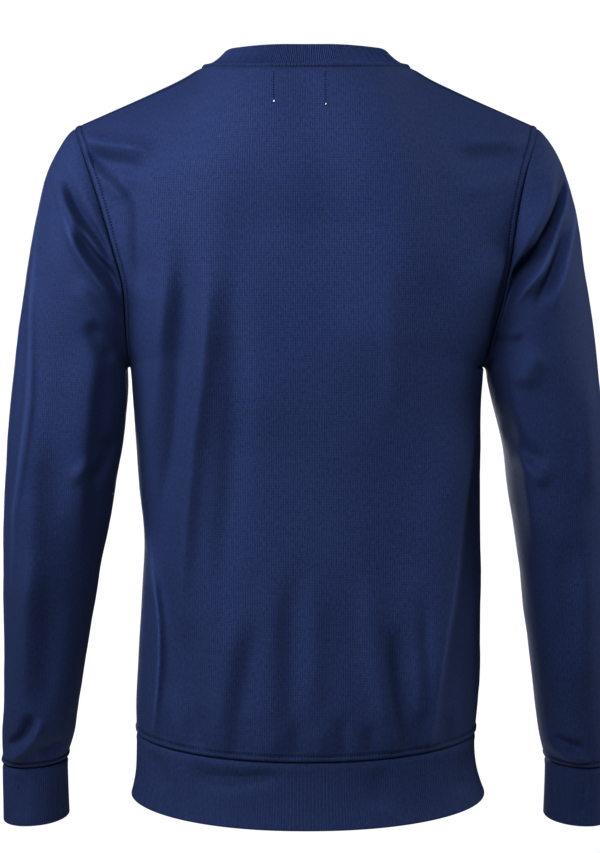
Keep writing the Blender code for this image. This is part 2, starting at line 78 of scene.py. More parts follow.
bpy.ops.object.camera_add(location=CAMERA_PLACE, rotation=(CAMERA_TILT, 0.0, math.pi))
camera = bpy.context.object
camera.name = "studio_camera"
camera.data.lens = CAMERA_LENS
bpy.context.scene.camera = camera
print("camera lens", camera.data.lens)

# %% [markdown]
# ## The garment's sections
# A pattern cutter describes a garment by a handful of measures. These tables do the
# same: how far the body reaches to each side, back and front at a height, where the
# armhole seam runs, and how wide the sleeves are. They are the same sections that the
# solid model has, so the cloth lies where its solids are. All sizes are in metres.

# %% Body, armhole and neck sections
BODY_NAMES = ("height", "left_reach", "right_reach", "back", "front", "squareness")
BODY_SECTIONS = (
    (-0.625, 0.1600, 0.1600, 0.1065, 0.1065, 2.30),
    (-0.612, 0.1610, 0.1612, 0.1105, 0.1105, 2.30),
    (-0.590, 0.1602, 0.1630, 0.1100, 0.1110, 2.30),
    (-0.541, 0.1575, 0.1645, 0.1065, 0.1090, 2.30),
    (-0.484, 0.1540, 0.1645, 0.1030, 0.1070, 2.30),
    (-0.441, 0.1520, 0.1640, 0.1015, 0.1070, 2.30),
    (-0.398, 0.1560, 0.1636, 0.1030, 0.1090, 2.32),
    (-0.355, 0.1590, 0.1630, 0.1065, 0.1130, 2.35),
    (-0.313, 0.1615, 0.1630, 0.1105, 0.1175, 2.40),
    (-0.282, 0.1640, 0.1640, 0.1130, 0.1195, 2.40),
    (-0.230, 0.1640, 0.1640, 0.1155, 0.1190, 2.35),
    (-0.180, 0.1640, 0.1640, 0.1130, 0.1120, 2.30),
    (-0.148, 0.1640, 0.1640, 0.1085, 0.1040, 2.30),
)
ARMHOLE_NAMES = ("height", "left_reach", "right_reach", "back", "front")
ARMHOLE_SECTIONS = (
    (-0.2820, 0.1640, 0.1640, 0.0000, 0.0000),
    (-0.2700, 0.1646, 0.1668, 0.0260, -0.0290),
    (-0.2400, 0.1655, 0.1738, 0.0460, -0.0500),
    (-0.2050, 0.1668, 0.1815, 0.0590, -0.0600),
    (-0.1710, 0.1752, 0.1868, 0.0640, -0.0600),
    (-0.1390, 0.1844, 0.1915, 0.0620, -0.0540),
    (-0.1050, 0.1956, 0.1990, 0.0530, -0.0400),
    (-0.0800, 0.2050, 0.2068, 0.0400, -0.0240),
    (-0.0650, 0.2112, 0.2116, 0.0240, -0.0080),
    (-0.0606, 0.2130, 0.2130, 0.0080, 0.0080),
)
NECK_SEAM = (
    (0.0000, 0.0720, -0.0086),
    (0.0360, 0.0690, -0.0082),
    (0.0680, 0.0550, -0.0068),
    (0.0900, 0.0310, -0.0048),
    (0.0965, 0.0040, -0.0042),
    (0.0930, -0.0210, -0.0130),
    (0.0790, -0.0450, -0.0340),
    (0.0500, -0.0630, -0.0620),
    (0.0000, -0.0710, -0.0790),
)
NECK_TOP = (
    (0.0000, 0.0600, 0.0128),
    (0.0300, 0.0572, 0.0128),
    (0.0550, 0.0430, 0.0122),
    (0.0700, 0.0215, 0.0116),
    (0.0735, 0.0020, 0.0100),
    (0.0700, -0.0190, 0.0030),
    (0.0585, -0.0370, -0.0140),
    (0.0370, -0.0525, -0.0375),
    (0.0000, -0.0600, -0.0560),
)
print(len(BODY_SECTIONS), "body sections")

# %% Sleeve, hem band and cuff sections
SLEEVE_NAMES = (
    "outer_reach", "outer_height", "left_inner_reach", "right_inner_reach",
    "inner_height", "middle_y", "half_depth",
)
SLEEVE_SECTIONS = (
    (0.2130, -0.0606, 0.1640, 0.1640, -0.2820, 0.0020, 0.0620),
    (0.2225, -0.0700, 0.1668, 0.1672, -0.2826, 0.0018, 0.0690),
    (0.2345, -0.0890, 0.1678, 0.1690, -0.2860, 0.0015, 0.0720),
    (0.2455, -0.1200, 0.1675, 0.1700, -0.2930, 0.0010, 0.0730),
    (0.2540, -0.1600, 0.1670, 0.1720, -0.3020, 0.0000, 0.0725),
    (0.2615, -0.2030, 0.1675, 0.1755, -0.3150, -0.0010, 0.0710),
    (0.2690, -0.2500, 0.1700, 0.1810, -0.3370, -0.0020, 0.0690),
    (0.2762, -0.3080, 0.1755, 0.1875, -0.3700, -0.0040, 0.0665),
    (0.2822, -0.3720, 0.1832, 0.1940, -0.4150, -0.0070, 0.0635),
    (0.2862, -0.4500, 0.1960, 0.2035, -0.4760, -0.0120, 0.0600),
    (0.2880, -0.5250, 0.2075, 0.2125, -0.5400, -0.0200, 0.0560),
    (0.2910, -0.6000, 0.2190, 0.2215, -0.6050, -0.0320, 0.0510),
    (0.2945, -0.6450, 0.2262, 0.2280, -0.6440, -0.0410, 0.0465),
    (0.2960, -0.6600, 0.2290, 0.2305, -0.6570, -0.0440, 0.0435),
    (0.2945, -0.6680, 0.2328, 0.2338, -0.6640, -0.0460, 0.0395),
)
HEM_NAMES = ("drop", "left_reach", "right_reach", "back", "front")
HEM_SECTIONS = (
    (0.0000, 0.1600, 0.1600, 0.1065, 0.1065),
    (0.0200, 0.1605, 0.1600, 0.1060, 0.1060),
    (0.0400, 0.1615, 0.1625, 0.1075, 0.1070),
    (0.0620, 0.1660, 0.1705, 0.1130, 0.1100),
)
CUFF_DROP = 0.060
CUFF_FLARE = 0.0006
CUFF_FORWARD = 0.006
print(len(SLEEVE_SECTIONS), "sleeve sections")

# %% Steps and shared heights of the coarse form
HALF_NECK_STEPS = 8
SHOULDER_STEPS = 7
SIDE_STEPS = 12
ARMHOLE_STEPS = 14
SLEEVE_STEPS = 26
SLEEVE_STEP_GROWTH = 1.2
HALF_COLUMNS = HALF_NECK_STEPS + SHOULDER_STEPS
UNDERARM_HEIGHT = -0.282
HEM_SEAM_HEIGHT = -0.625
HEM_SEAM_DROP_BACK = 0.008
HEM_SEAM_DROP_FRONT = 0.006
SHOULDER_SAG = 0.0024
HALF_ARMHOLE_CENTRE_HEIGHT = -0.148
HALF_ARMHOLE_TURN = math.radians(54)
TURN_EASE = 0.7
YOKE_ROUND_REACH = 1.6
YOKE_BEND_MIDDLE = 2.2
YOKE_BEND_LOSS = 0.2
NECK_POINT_EASE = 0.6
NECK_POINT_EASE_COLUMNS = 3.5
NECK_POINT_EASINGS = 12
NECKBAND_HOLLOW = 0.0030
SLEEVE_SQUARENESS = 2.1
ARMHOLE_BLEND_STEPS = 7
MIRRORED = np.array([-1.0, 1.0, 1.0])
print("coarse panel is", 2 * HALF_COLUMNS, "by", SIDE_STEPS + ARMHOLE_STEPS, "steps")

# %% [markdown]
# ## From sections to a form
# A skilled cutter sees a curve where the table has a few points. These helpers draw
# that curve, and lay rows of points across the body and round the sleeves. Skinning
# the sections with a surface tool would do too, but with plain rows the seams of two
# neighbouring pieces share the same points, as two edges that are sewn together do.

# %% Curves through a table's points
def column(rows, names, name):
    """One named column of a table."""
    place = names.index(name)
    return np.array([row[place] for row in rows])


def smooth_curve(points, places, stations):
    """Points on the smooth curve that passes each point at its place."""
    points = np.asarray(points, dtype=float)
    slopes = np.gradient(points, places, axis=0)
    result = []
    for station in stations:
        span = int(np.clip(np.searchsorted(places, station) - 1, 0, len(places) - 2))
        length = places[span + 1] - places[span]
        t = np.clip((station - places[span]) / length, 0.0, 1.0)
        start = points[span] * (2 * t**3 - 3 * t**2 + 1) + slopes[span] * length * (t**3 - 2 * t**2 + t)
        end = points[span + 1] * (3 * t**2 - 2 * t**3) + slopes[span + 1] * length * (t**3 - t**2)
        result.append(start + end)
    return np.array(result)


def distances(points):
    """Distance travelled along a row of points, in metres."""
    steps = np.linalg.norm(np.diff(np.asarray(points, dtype=float), axis=0), axis=1)
    return np.concatenate(([0.0], np.cumsum(steps)))


def along(points):
    """Distance travelled along a row of points, from 0 to 1."""
    travelled = distances(points)
    return travelled / travelled[-1]


print("a curve's middle:", smooth_curve([0.0, 1.0, 4.0], np.array([0.0, 1.0, 2.0]), [1.5]))


# %% Neck line and armhole seam
def neck_quarter(table, front):
    """A neck line from the middle of one panel to the neck point."""
    rows = np.array(table)
    middle = len(rows) // 2
    rows = rows[middle:][::-1] if front else rows[:middle + 1]
    whole = np.concatenate([rows[:0:-1] * MIRRORED, rows])
    return smooth_curve(whole, along(whole), np.linspace(0.5, 1.0, HALF_NECK_STEPS + 1))


def armhole(left, front):
    """The armhole seam of one panel, from the underarm to the shoulder tip."""
    reach = column(ARMHOLE_SECTIONS, ARMHOLE_NAMES, "left_reach" if left else "right_reach")
    reach = reach if left else -reach
    height = column(ARMHOLE_SECTIONS, ARMHOLE_NAMES, "height")
    own, other = ("front", "back") if front else ("back", "front")
    rows = np.stack([reach, column(ARMHOLE_SECTIONS, ARMHOLE_NAMES, own), height], axis=1)
    beyond = np.stack([reach, column(ARMHOLE_SECTIONS, ARMHOLE_NAMES, other), height], axis=1)
    whole = np.concatenate([beyond[1:2], rows, beyond[-2:-1]])
    places = along(whole)
    return smooth_curve(whole, places, np.linspace(places[1], places[-2], ARMHOLE_STEPS + 1))


print("shoulder tip at", armhole(True, False)[-1].round(3))


# %% Half of a body panel
def section_at(height):
    """The body's section at a height, by its names."""
    heights = column(BODY_SECTIONS, BODY_NAMES, "height")
    values = smooth_curve(np.array(BODY_SECTIONS)[:, 1:], heights, [height])[0]
    return dict(zip(BODY_NAMES[1:], values))


def body_row(middle, edge, turn, power):
    """Half a row of a panel, from its middle point out to its edge point."""
    angles = np.linspace(0.0, turn, HALF_COLUMNS + 1)
    sideways = (np.sin(angles) / math.sin(turn)) ** power
    last = max(math.cos(turn), 0.0) ** power
    depthways = (np.maximum(np.cos(angles), 0.0) ** power - last) / (1.0 - last)
    x = middle[0] + (edge[0] - middle[0]) * sideways
    y = edge[1] + (middle[1] - edge[1]) * depthways
    z = middle[2] + (edge[2] - middle[2]) * sideways**2
    return np.stack([x, y, z], axis=1)


def half_panel(left, front):
    """Half of the back or the front, rows from the hem seam to the top."""
    side = 1.0 if left else -1.0
    facing = -1.0 if front else 1.0
    drop = HEM_SEAM_DROP_FRONT if front else HEM_SEAM_DROP_BACK
    depth = "front" if front else "back"
    reach = "left_reach" if left else "right_reach"
    rows = []
    for height in np.linspace(HEM_SEAM_HEIGHT, UNDERARM_HEIGHT, SIDE_STEPS + 1):
        section = section_at(height)
        share = (UNDERARM_HEIGHT - height) / (UNDERARM_HEIGHT - HEM_SEAM_HEIGHT)
        middle = (0.0, facing * section[depth], height - drop * share**2)
        edge = (side * section[reach], 0.0, height)
        rows.append(body_row(middle, edge, math.pi / 2, 2.0 / section["squareness"]))
    seam = armhole(left, front)
    half = ARMHOLE_STEPS // 2
    for step in range(1, half + 1):
        share = step / half
        height = UNDERARM_HEIGHT + (HALF_ARMHOLE_CENTRE_HEIGHT - UNDERARM_HEIGHT) * share
        section = section_at(height)
        turn = math.pi / 2 + (HALF_ARMHOLE_TURN - math.pi / 2) * share**TURN_EASE
        middle = (0.0, facing * section[depth], height)
        rows.append(body_row(middle, seam[step], turn, 2.0 / section["squareness"]))
    return rows + yoke_rows(rows[-1], seam[half:], neck_quarter(NECK_SEAM, front) * (side, 1.0, 1.0))


def yoke_rows(base, seam, neck):
    """Rows from halfway up the armhole to the neck and shoulder seams."""
    shoulder = np.linspace(neck[-1], seam[-1], SHOULDER_STEPS + 1)
    across = np.linspace(0.0, 1.0, SHOULDER_STEPS + 1)
    shoulder[:, 2] -= SHOULDER_SAG * np.sin(math.pi * np.sqrt(across))
    top = np.concatenate([neck, shoulder[1:]])
    sideways = np.linspace(0.0, 1.0, HALF_COLUMNS + 1)[:, None]
    roundness = np.clip(sideways * YOKE_ROUND_REACH, 0.0, 1.0)
    bend = YOKE_BEND_MIDDLE - YOKE_BEND_LOSS * roundness
    rows = []
    for step in range(1, len(seam)):
        share = step / (len(seam) - 1)
        climb = share + roundness * (math.sin(share * math.pi / 2) - share)
        hold = np.maximum(1.0 - climb**bend, 0.0) ** (1.0 / (1.0 + roundness))
        row = base + (top - base) * climb
        row[:, 1] = (top[:, 1:2] + (base[:, 1:2] - top[:, 1:2]) * hold)[:, 0]
        rows.append(row + (seam[step] - row[-1]) * sideways**2)
    return rows


print("rows in a panel:", len(half_panel(True, False)))


# %% Whole panels, eased below the neck points
def relax(grid):
    """Let the cloth below each neck point lie smooth, edges held."""
    rows = np.arange(len(grid))[1:-1, None]
    columns = np.arange(grid.shape[1])[None, 1:-1]
    off = np.minimum(abs(columns - SHOULDER_STEPS), abs(columns - SHOULDER_STEPS - 2 * HALF_NECK_STEPS))
    climb = np.clip((rows - SIDE_STEPS) / ARMHOLE_STEPS, 0.0, 1.0)
    near = np.exp(-((off / NECK_POINT_EASE_COLUMNS) ** 2))
    ease = (NECK_POINT_EASE * climb * near)[..., None]
    for _ in range(NECK_POINT_EASINGS):
        around = grid[:-2, 1:-1] + grid[2:, 1:-1] + grid[1:-1, :-2] + grid[1:-1, 2:]
        grid[1:-1, 1:-1] += ease * (around / 4 - grid[1:-1, 1:-1])
    return grid


def panel(front):
    """The back or the front, from the wearer's right side to the left."""
    right = np.array(half_panel(False, front))
    left = np.array(half_panel(True, front))
    return relax(np.concatenate([right[:, :0:-1], left], axis=1))


back_form = panel(False)
front_form = panel(True)
print("back form", back_form.shape, "front form", front_form.shape)


# %% Sleeves as rings from the cuff up
def sleeve_form(left):
    """Rings of one sleeve. Each starts at its outer line and goes round by the back."""
    side = 1.0 if left else -1.0
    inner = "left_inner_reach" if left else "right_inner_reach"
    names = ("outer_reach", "outer_height", inner, "inner_height", "middle_y", "half_depth")
    table = np.stack([column(SLEEVE_SECTIONS, SLEEVE_NAMES, name) for name in names], axis=1)
    centres = (table[:, 0:2] + table[:, 2:4]) / 2
    stations = np.linspace(0.0, 1.0, SLEEVE_STEPS + 1) ** SLEEVE_STEP_GROWTH
    turns = np.linspace(0.0, 2 * math.pi, 2 * ARMHOLE_STEPS, endpoint=False)
    power = 2.0 / SLEEVE_SQUARENESS
    swing = np.sign(np.cos(turns)) * np.abs(np.cos(turns)) ** power
    swell = np.sign(np.sin(turns)) * np.abs(np.sin(turns)) ** power
    rings = []
    sections = smooth_curve(table, along(centres), stations)
    for outer_x, outer_z, inner_x, inner_z, middle_y, half_depth in sections:
        x = side * ((outer_x + inner_x) / 2 + (outer_x - inner_x) / 2 * swing)
        z = (outer_z + inner_z) / 2 + (outer_z - inner_z) / 2 * swing
        rings.append(np.stack([x, middle_y + half_depth * swell, z], axis=1))
    rings = np.array(rings)
    edge = -1 if left else 0
    seam = np.concatenate([back_form[:SIDE_STEPS - 1:-1, edge], front_form[SIDE_STEPS + 1:-1, edge]])
    own = seam - rings[0]
    for step in range(ARMHOLE_BLEND_STEPS):
        rings[step] += own * (1.0 - step / ARMHOLE_BLEND_STEPS) ** 2
    from_underarm = np.roll(rings[::-1], -ARMHOLE_STEPS, axis=1)
    return from_underarm if left else np.roll(from_underarm[:, ::-1], 1, axis=1)


left_form = sleeve_form(True)
right_form = sleeve_form(False)
print("sleeve form", left_form.shape)


# %% Neckband, hem band and cuffs as rings
BAND_STEPS = 3


def neckband_form():
    """Rings from the neck seam up to the folded top edge, from the middle of the back."""
    back_quarter = neck_quarter(NECK_SEAM, False)
    front_quarter = neck_quarter(NECK_SEAM, True)
    back_top = neck_quarter(NECK_TOP, False)
    front_top = neck_quarter(NECK_TOP, True)
    loops = []
    for near, far in ((back_quarter, front_quarter), (back_top, front_top)):
        left_half = np.concatenate([near, far[-2::-1]])
        right_half = left_half[-2:0:-1] * MIRRORED
        loops.append(np.concatenate([left_half, right_half])[::-1])
    rings = []
    for share in np.linspace(0.0, 1.0, BAND_STEPS + 1):
        ring = loops[0] + (loops[1] - loops[0]) * share
        ring[:, 2] -= NECKBAND_HOLLOW * 4 * share * (1 - share)
        rings.append(ring)
    return np.array(rings)


def hem_band_form():
    """Rings from the open edge up to the hem seam."""
    seam = np.concatenate([back_form[0], front_form[0, -2:0:-1]])
    first = dict(zip(HEM_NAMES, HEM_SECTIONS[0]))
    rings = []
    for row in reversed(HEM_SECTIONS):
        section = dict(zip(HEM_NAMES, row))
        grown = {name: section[name] / first[name] for name in HEM_NAMES[1:]}
        wide = np.where(seam[:, 0] >= 0.0, grown["left_reach"], grown["right_reach"])
        deep = np.where(seam[:, 1] >= 0.0, grown["back"], grown["front"])
        ring = seam * np.stack([wide, deep, np.ones(len(seam))], axis=1)
        ring[:, 2] -= section["drop"]
        rings.append(ring[::-1])
    return np.array(rings)


def cuff_form(seam):
    """Rings from the open edge up to the cuff seam."""
    middle = seam.mean(axis=0)
    rings = []
    for share in np.linspace(1.0, 0.0, BAND_STEPS + 1):
        away = (seam - middle) * (1.0, 1.0, 0.0)
        away /= np.linalg.norm(away, axis=1, keepdims=True)
        ring = seam + away * CUFF_FLARE * share**2
        ring[:, 1] -= CUFF_FORWARD * share
        ring[:, 2] -= CUFF_DROP * share
        rings.append(ring)
    return np.array(rings)


neckband_rings = neckband_form()
hem_rings = hem_band_form()
left_cuff_rings = cuff_form(left_form[0])
right_cuff_rings = cuff_form(right_form[0])
print("neckband", neckband_rings.shape, "hem band", hem_rings.shape)

# %% [markdown]
# ## Finer rows and columns
# A thin wooden strip that is bent through a row of pins takes the smoothest curve they
# allow. The next helper finds that curve for any row of points, as weights that tell
# how much each pin counts at each place along the strip. Subdivision would be simpler,
# but it draws the cloth away from its sections, and a bent strip passes each of them.
# The strip may kink where two different edges of a panel meet: at the two neck points
# and at the underarm.

# %% Weights of a bent strip
def strip_weights(count, stations, closed=False, kinks=()):
    """How much each point of a bent strip counts at each station along it."""
    bend = np.zeros((count, count))
    pull = np.zeros((count, count))
    for point in range(count):
        around = [(point - 1) % count, point, (point + 1) % count]
        if closed or (0 < point < count - 1 and point not in kinks):
            bend[point, around] = (1.0, 4.0, 1.0)
            pull[point, around] = (6.0, -12.0, 6.0)
        else:
            bend[point, point] = 1.0
    if not closed:
        bend[0, 1] = bend[-1, -2] = -1.0
    bends = np.linalg.solve(bend, pull)
    start = np.floor(stations).astype(int)
    start = start if closed else np.clip(start, 0, count - 2)
    here, there = start % count, (start + 1) % count
    after = (stations - start)[:, None]
    before = 1.0 - after
    own = np.eye(count)
    straight = before * own[here] + after * own[there]
    return straight + (before**3 - before) / 6 * bends[here] + (after**3 - after) / 6 * bends[there]


print("weights halfway along:", strip_weights(4, np.array([1.5])).round(3))


# %% Stations for fine rows and columns
SEAM_STEP = 0.0011
SEAM_ZONE_STEPS = 9
BUNCHING = 0.28


def spaced(line, step, by_start, by_end):
    """Stations along a row of points, about a step apart, closer toward both
    ends and closest beside a seam."""
    travelled = distances(line)
    short = SEAM_STEP * np.arange(SEAM_ZONE_STEPS)
    first = SEAM_ZONE_STEPS * SEAM_STEP if by_start else 0.0
    last = travelled[-1] - (SEAM_ZONE_STEPS * SEAM_STEP if by_end else 0.0)
    share = np.linspace(0.0, 1.0, round((last - first) / step) + 1)
    share -= BUNCHING * np.sin(2 * math.pi * share) / (2 * math.pi)
    places = np.concatenate([
        short if by_start else [],
        first + (last - first) * share,
        travelled[-1] - short[::-1] if by_end else [],
    ])
    return np.interp(places, travelled, np.arange(len(line)))


print("stations on a 100 mm strip:", len(spaced(np.array([[0.0], [0.1]]), 0.0026, True, True)))


# %% Fine panels and fine tubes
NECK_KINK_ROWS = 4.0
UNDERARM_KINK_COLUMNS = 4.0


def fine_panel(form, step):
    """A panel's form as fine rows and columns of points, and their stations."""
    rows = spaced(form[:, SHOULDER_STEPS], step, True, True)
    columns = spaced(form[SIDE_STEPS], step, True, True)
    neck_points = (SHOULDER_STEPS, SHOULDER_STEPS + 2 * HALF_NECK_STEPS)
    smooth = strip_weights(form.shape[1], columns)
    kinked = strip_weights(form.shape[1], columns, kinks=neck_points)
    near_top = np.clip(1.0 - np.arange(len(form))[::-1] / NECK_KINK_ROWS, 0.0, 1.0)[:, None, None]
    wide = np.einsum("rfc,rcx->rfx", smooth + (kinked - smooth) * near_top, form)
    smooth = strip_weights(form.shape[0], rows)
    kinked = strip_weights(form.shape[0], rows, kinks=(SIDE_STEPS,))
    from_side = np.minimum(columns, columns[-1] - columns)
    near_side = np.clip(1.0 - from_side / UNDERARM_KINK_COLUMNS, 0.0, 1.0)
    fine = np.einsum("fr,rcx->fcx", smooth, wide)
    return fine + np.einsum("fr,rcx->fcx", kinked - smooth, wide) * near_side[:, None], rows, columns


def fine_tube(form, row_step, column_count, by_start=True, by_end=True):
    """A tube's form as fine rings whose last column closes on the first."""
    rows = spaced(form[:, form.shape[1] // 2], row_step, by_start, by_end)
    columns = np.linspace(0.0, form.shape[1], column_count + 1)
    across = strip_weights(form.shape[1], columns, closed=True)
    return np.einsum("fr,rcx,gc->fgx", strip_weights(form.shape[0], rows), form, across)


BACK_STEP = 0.0027
FRONT_STEP = 0.0034
SLEEVE_STEP = 0.0030
SLEEVE_COLUMNS = 132

back_fine, back_rows, back_columns = fine_panel(back_form[:, ::-1], BACK_STEP)
front_fine, front_rows, front_columns = fine_panel(front_form, FRONT_STEP)
left_fine = fine_tube(left_form, SLEEVE_STEP, SLEEVE_COLUMNS)
right_fine = fine_tube(right_form, SLEEVE_STEP, SLEEVE_COLUMNS)
print("back", back_fine.shape, "front", front_fine.shape, "sleeve", left_fine.shape)

# %% [markdown]
# ## Meeting at the seams
# Two pieces that are sewn together share one line. The strips of two pieces can differ
# by a hair beside a kink, so each panel's edge is drawn onto the finer edge of the tube
# that is sewn to it, and the cloth beside it follows a little less with each millimetre.

# %% The nearest place on a line
def nearest_on(line, points):
    """For each point: the share of the line at its nearest place, the way
    from there to the point, and the way that the line runs there."""
    places = along(line)
    best = np.full(points.shape[:-1], np.inf)
    share = np.zeros(points.shape[:-1])
    away = np.zeros(points.shape)
    heading = np.zeros(points.shape)
    for start, end, low, high in zip(line, line[1:], places, places[1:]):
        run = end - start
        part = np.clip((points - start) @ run / (run @ run), 0.0, 1.0)
        way = points - start - part[..., None] * run
        gap = np.linalg.norm(way, axis=-1)
        closer = gap < best
        best[closer] = gap[closer]
        share[closer] = (low + (high - low) * part)[closer]
        away[closer] = way[closer]
        heading[closer] = run
    return share, away, heading


# %% Distance from an edge of the cloth
SLANT_LINES = 4


def turned(grid, edge):
    """A grid with one of its edges first: bottom, top, first or last."""
    grid = grid if edge in ("bottom", "top") else grid.swapaxes(0, 1)
    return grid if edge in ("bottom", "first") else grid[::-1]


def down_columns(grid):
    """Distance travelled down each column of a grid of points, in metres."""
    steps = np.linalg.norm(np.diff(grid, axis=0), axis=-1)
    return np.concatenate([np.zeros((1, grid.shape[1])), np.cumsum(steps, axis=0)])


def distance_from(fine, edge):
    """Each point's distance from an edge of its cloth, square to that edge."""
    lines = turned(fine, edge)
    away = lines[SLANT_LINES] - lines[0]
    run = np.gradient(lines[0], axis=0)
    slant = (away * run).sum(axis=-1) / (np.linalg.norm(away, axis=-1) * np.linalg.norm(run, axis=-1))
    square = down_columns(lines) * np.sqrt(1.0 - slant**2)
    square = square if edge in ("bottom", "first") else square[::-1]
    return square if edge in ("bottom", "top") else square.swapaxes(0, 1)


def run_beside(fine, edges):
    """How far along its nearest edge each point lies."""
    nearest = np.full(fine.shape[:2], np.inf)
    run = np.zeros(fine.shape[:2])
    for edge in edges:
        away = distance_from(fine, edge)
        travelled = distances(turned(fine, edge)[0])
        along_edge = travelled[None, :] if edge in ("bottom", "top") else travelled[:, None]
        run = np.where(away < nearest, along_edge, run)
        nearest = np.minimum(away, nearest)
    return run


MEET_REACH = 0.020
NECK_SEAM_ROW_STEP = 0.002
NECK_SEAM_POINTS = 400


def meet(fine, edge, seam, among):
    """Draw the named part of a panel's edge onto the line that it is sewn to."""
    rim = turned(fine, edge)[0]
    away = np.where(among[:, None], nearest_on(seam, rim)[1], 0.0)
    fade = np.clip(1.0 - turned(distance_from(fine, edge), edge) / MEET_REACH, 0.0, 1.0) ** 2
    turned(fine, edge)[...] -= away * fade[..., None]


neck_seam = fine_tube(neckband_rings, NECK_SEAM_ROW_STEP, NECK_SEAM_POINTS)[0]
for fine, rows, columns, left_edge, right_edge in (
    (back_fine, back_rows, back_columns, "first", "last"),
    (front_fine, front_rows, front_columns, "last", "first"),
):
    meet(fine, left_edge, left_fine[-1], rows >= SIDE_STEPS)
    meet(fine, right_edge, right_fine[-1], rows >= SIDE_STEPS)
    meet(fine, "top", neck_seam, np.abs(columns - HALF_COLUMNS) <= HALF_NECK_STEPS)
print("armhole edge starts at", back_fine[back_rows >= SIDE_STEPS][0, 0].round(4))

# %% [markdown]
# ## Creases
# A crease is a long soft trough or ridge that fades at both ends. Each one here has a
# line of a few points as seen from behind, half a width and a depth, which is negative
# for a trough. Its lean makes the wall on one side steeper, as cloth that hangs over
# itself does, and the keener it is, the sharper its middle line. One could sculpt them
# with a brush, but numbers can be held against the photograph and put right one by one.
# The cloth moves straight toward the viewer or away, so a crease stays where it was
# drawn. No two are alike, because real cloth never folds evenly.

# %% Creases as lines
CREASE_NAMES = ("line", "half_width", "depth", "lean", "keen")
CREASE_SAMPLES = 15
CREASE_REACH = 2.8
KEEN_WIDTH = 0.55
KEEN_ROUND = 0.10
FADE_SHARE = 0.30
BOLDNESS = 1.9


def smooth_step(values, low, high):
    """From 0 at low to 1 at high, level at both."""
    share = np.clip((values - low) / (high - low), 0.0, 1.0)
    return share * share * (3.0 - 2.0 * share)


def crease_lift(fine, creases):
    """How far a set of creases lifts each point, seen along Y."""
    flat = fine[..., [0, 2]]
    lift = np.zeros(flat.shape[:-1])
    for row in creases:
        crease = dict(zip(CREASE_NAMES, row))
        line = np.array(crease["line"])
        curve = smooth_curve(line, along(line), np.linspace(0.0, 1.0, CREASE_SAMPLES))
        reach = CREASE_REACH * crease["half_width"] * (1.0 + abs(crease["lean"]))
        close = np.all((flat > curve.min(axis=0) - reach) & (flat < curve.max(axis=0) + reach), axis=-1)
        share, away, run = nearest_on(curve, flat[close])
        side = np.sign(run[:, 0] * away[:, 1] - run[:, 1] * away[:, 0])
        spread = np.linalg.norm(away, axis=-1) / (crease["half_width"] * (1.0 + crease["lean"] * side))
        taper = smooth_step(np.minimum(share, 1.0 - share), 0.0, FADE_SHARE)
        soft = np.exp(-(spread**2))
        keen = np.exp((KEEN_ROUND - np.sqrt(spread**2 + KEEN_ROUND**2)) / KEEN_WIDTH)
        lift[close] += BOLDNESS * crease["depth"] * taper * (soft + (keen - soft) * crease.get("keen", 0.0))
    return lift


print("halfway up a smooth step:", smooth_step(0.5, 0.0, 1.0))


# %% Creases of the back
SHOULDER_CREASES = (
    (((0.214, -0.068), (0.180, -0.076), (0.130, -0.084)), 0.0070, 0.0040, 0.0),
    (((0.214, -0.084), (0.180, -0.093), (0.134, -0.104)), 0.0070, -0.0040, 0.0),
    (((0.204, -0.094), (0.182, -0.110), (0.160, -0.132)), 0.0060, 0.0024, 0.0),
    (((0.194, -0.090), (0.172, -0.106), (0.148, -0.128)), 0.0065, -0.0024, 0.0),
    (((-0.206, -0.064), (-0.176, -0.072), (-0.126, -0.074)), 0.0070, 0.0026, 0.0),
    (((-0.206, -0.084), (-0.176, -0.090), (-0.124, -0.092)), 0.0080, -0.0026, 0.0),
    (((-0.198, -0.100), (-0.170, -0.112), (-0.130, -0.122)), 0.0090, 0.0016, 0.0),
    (((0.098, -0.040), (0.090, -0.100), (0.078, -0.170), (0.066, -0.250)), 0.0250, 0.0020, 0.0),
    (((-0.014, -0.020), (-0.022, -0.110), (-0.024, -0.180), (-0.016, -0.280)), 0.0300, -0.0018, 0.0),
    (((-0.092, -0.050), (-0.096, -0.130), (-0.094, -0.230)), 0.0240, 0.0014, 0.0),
)
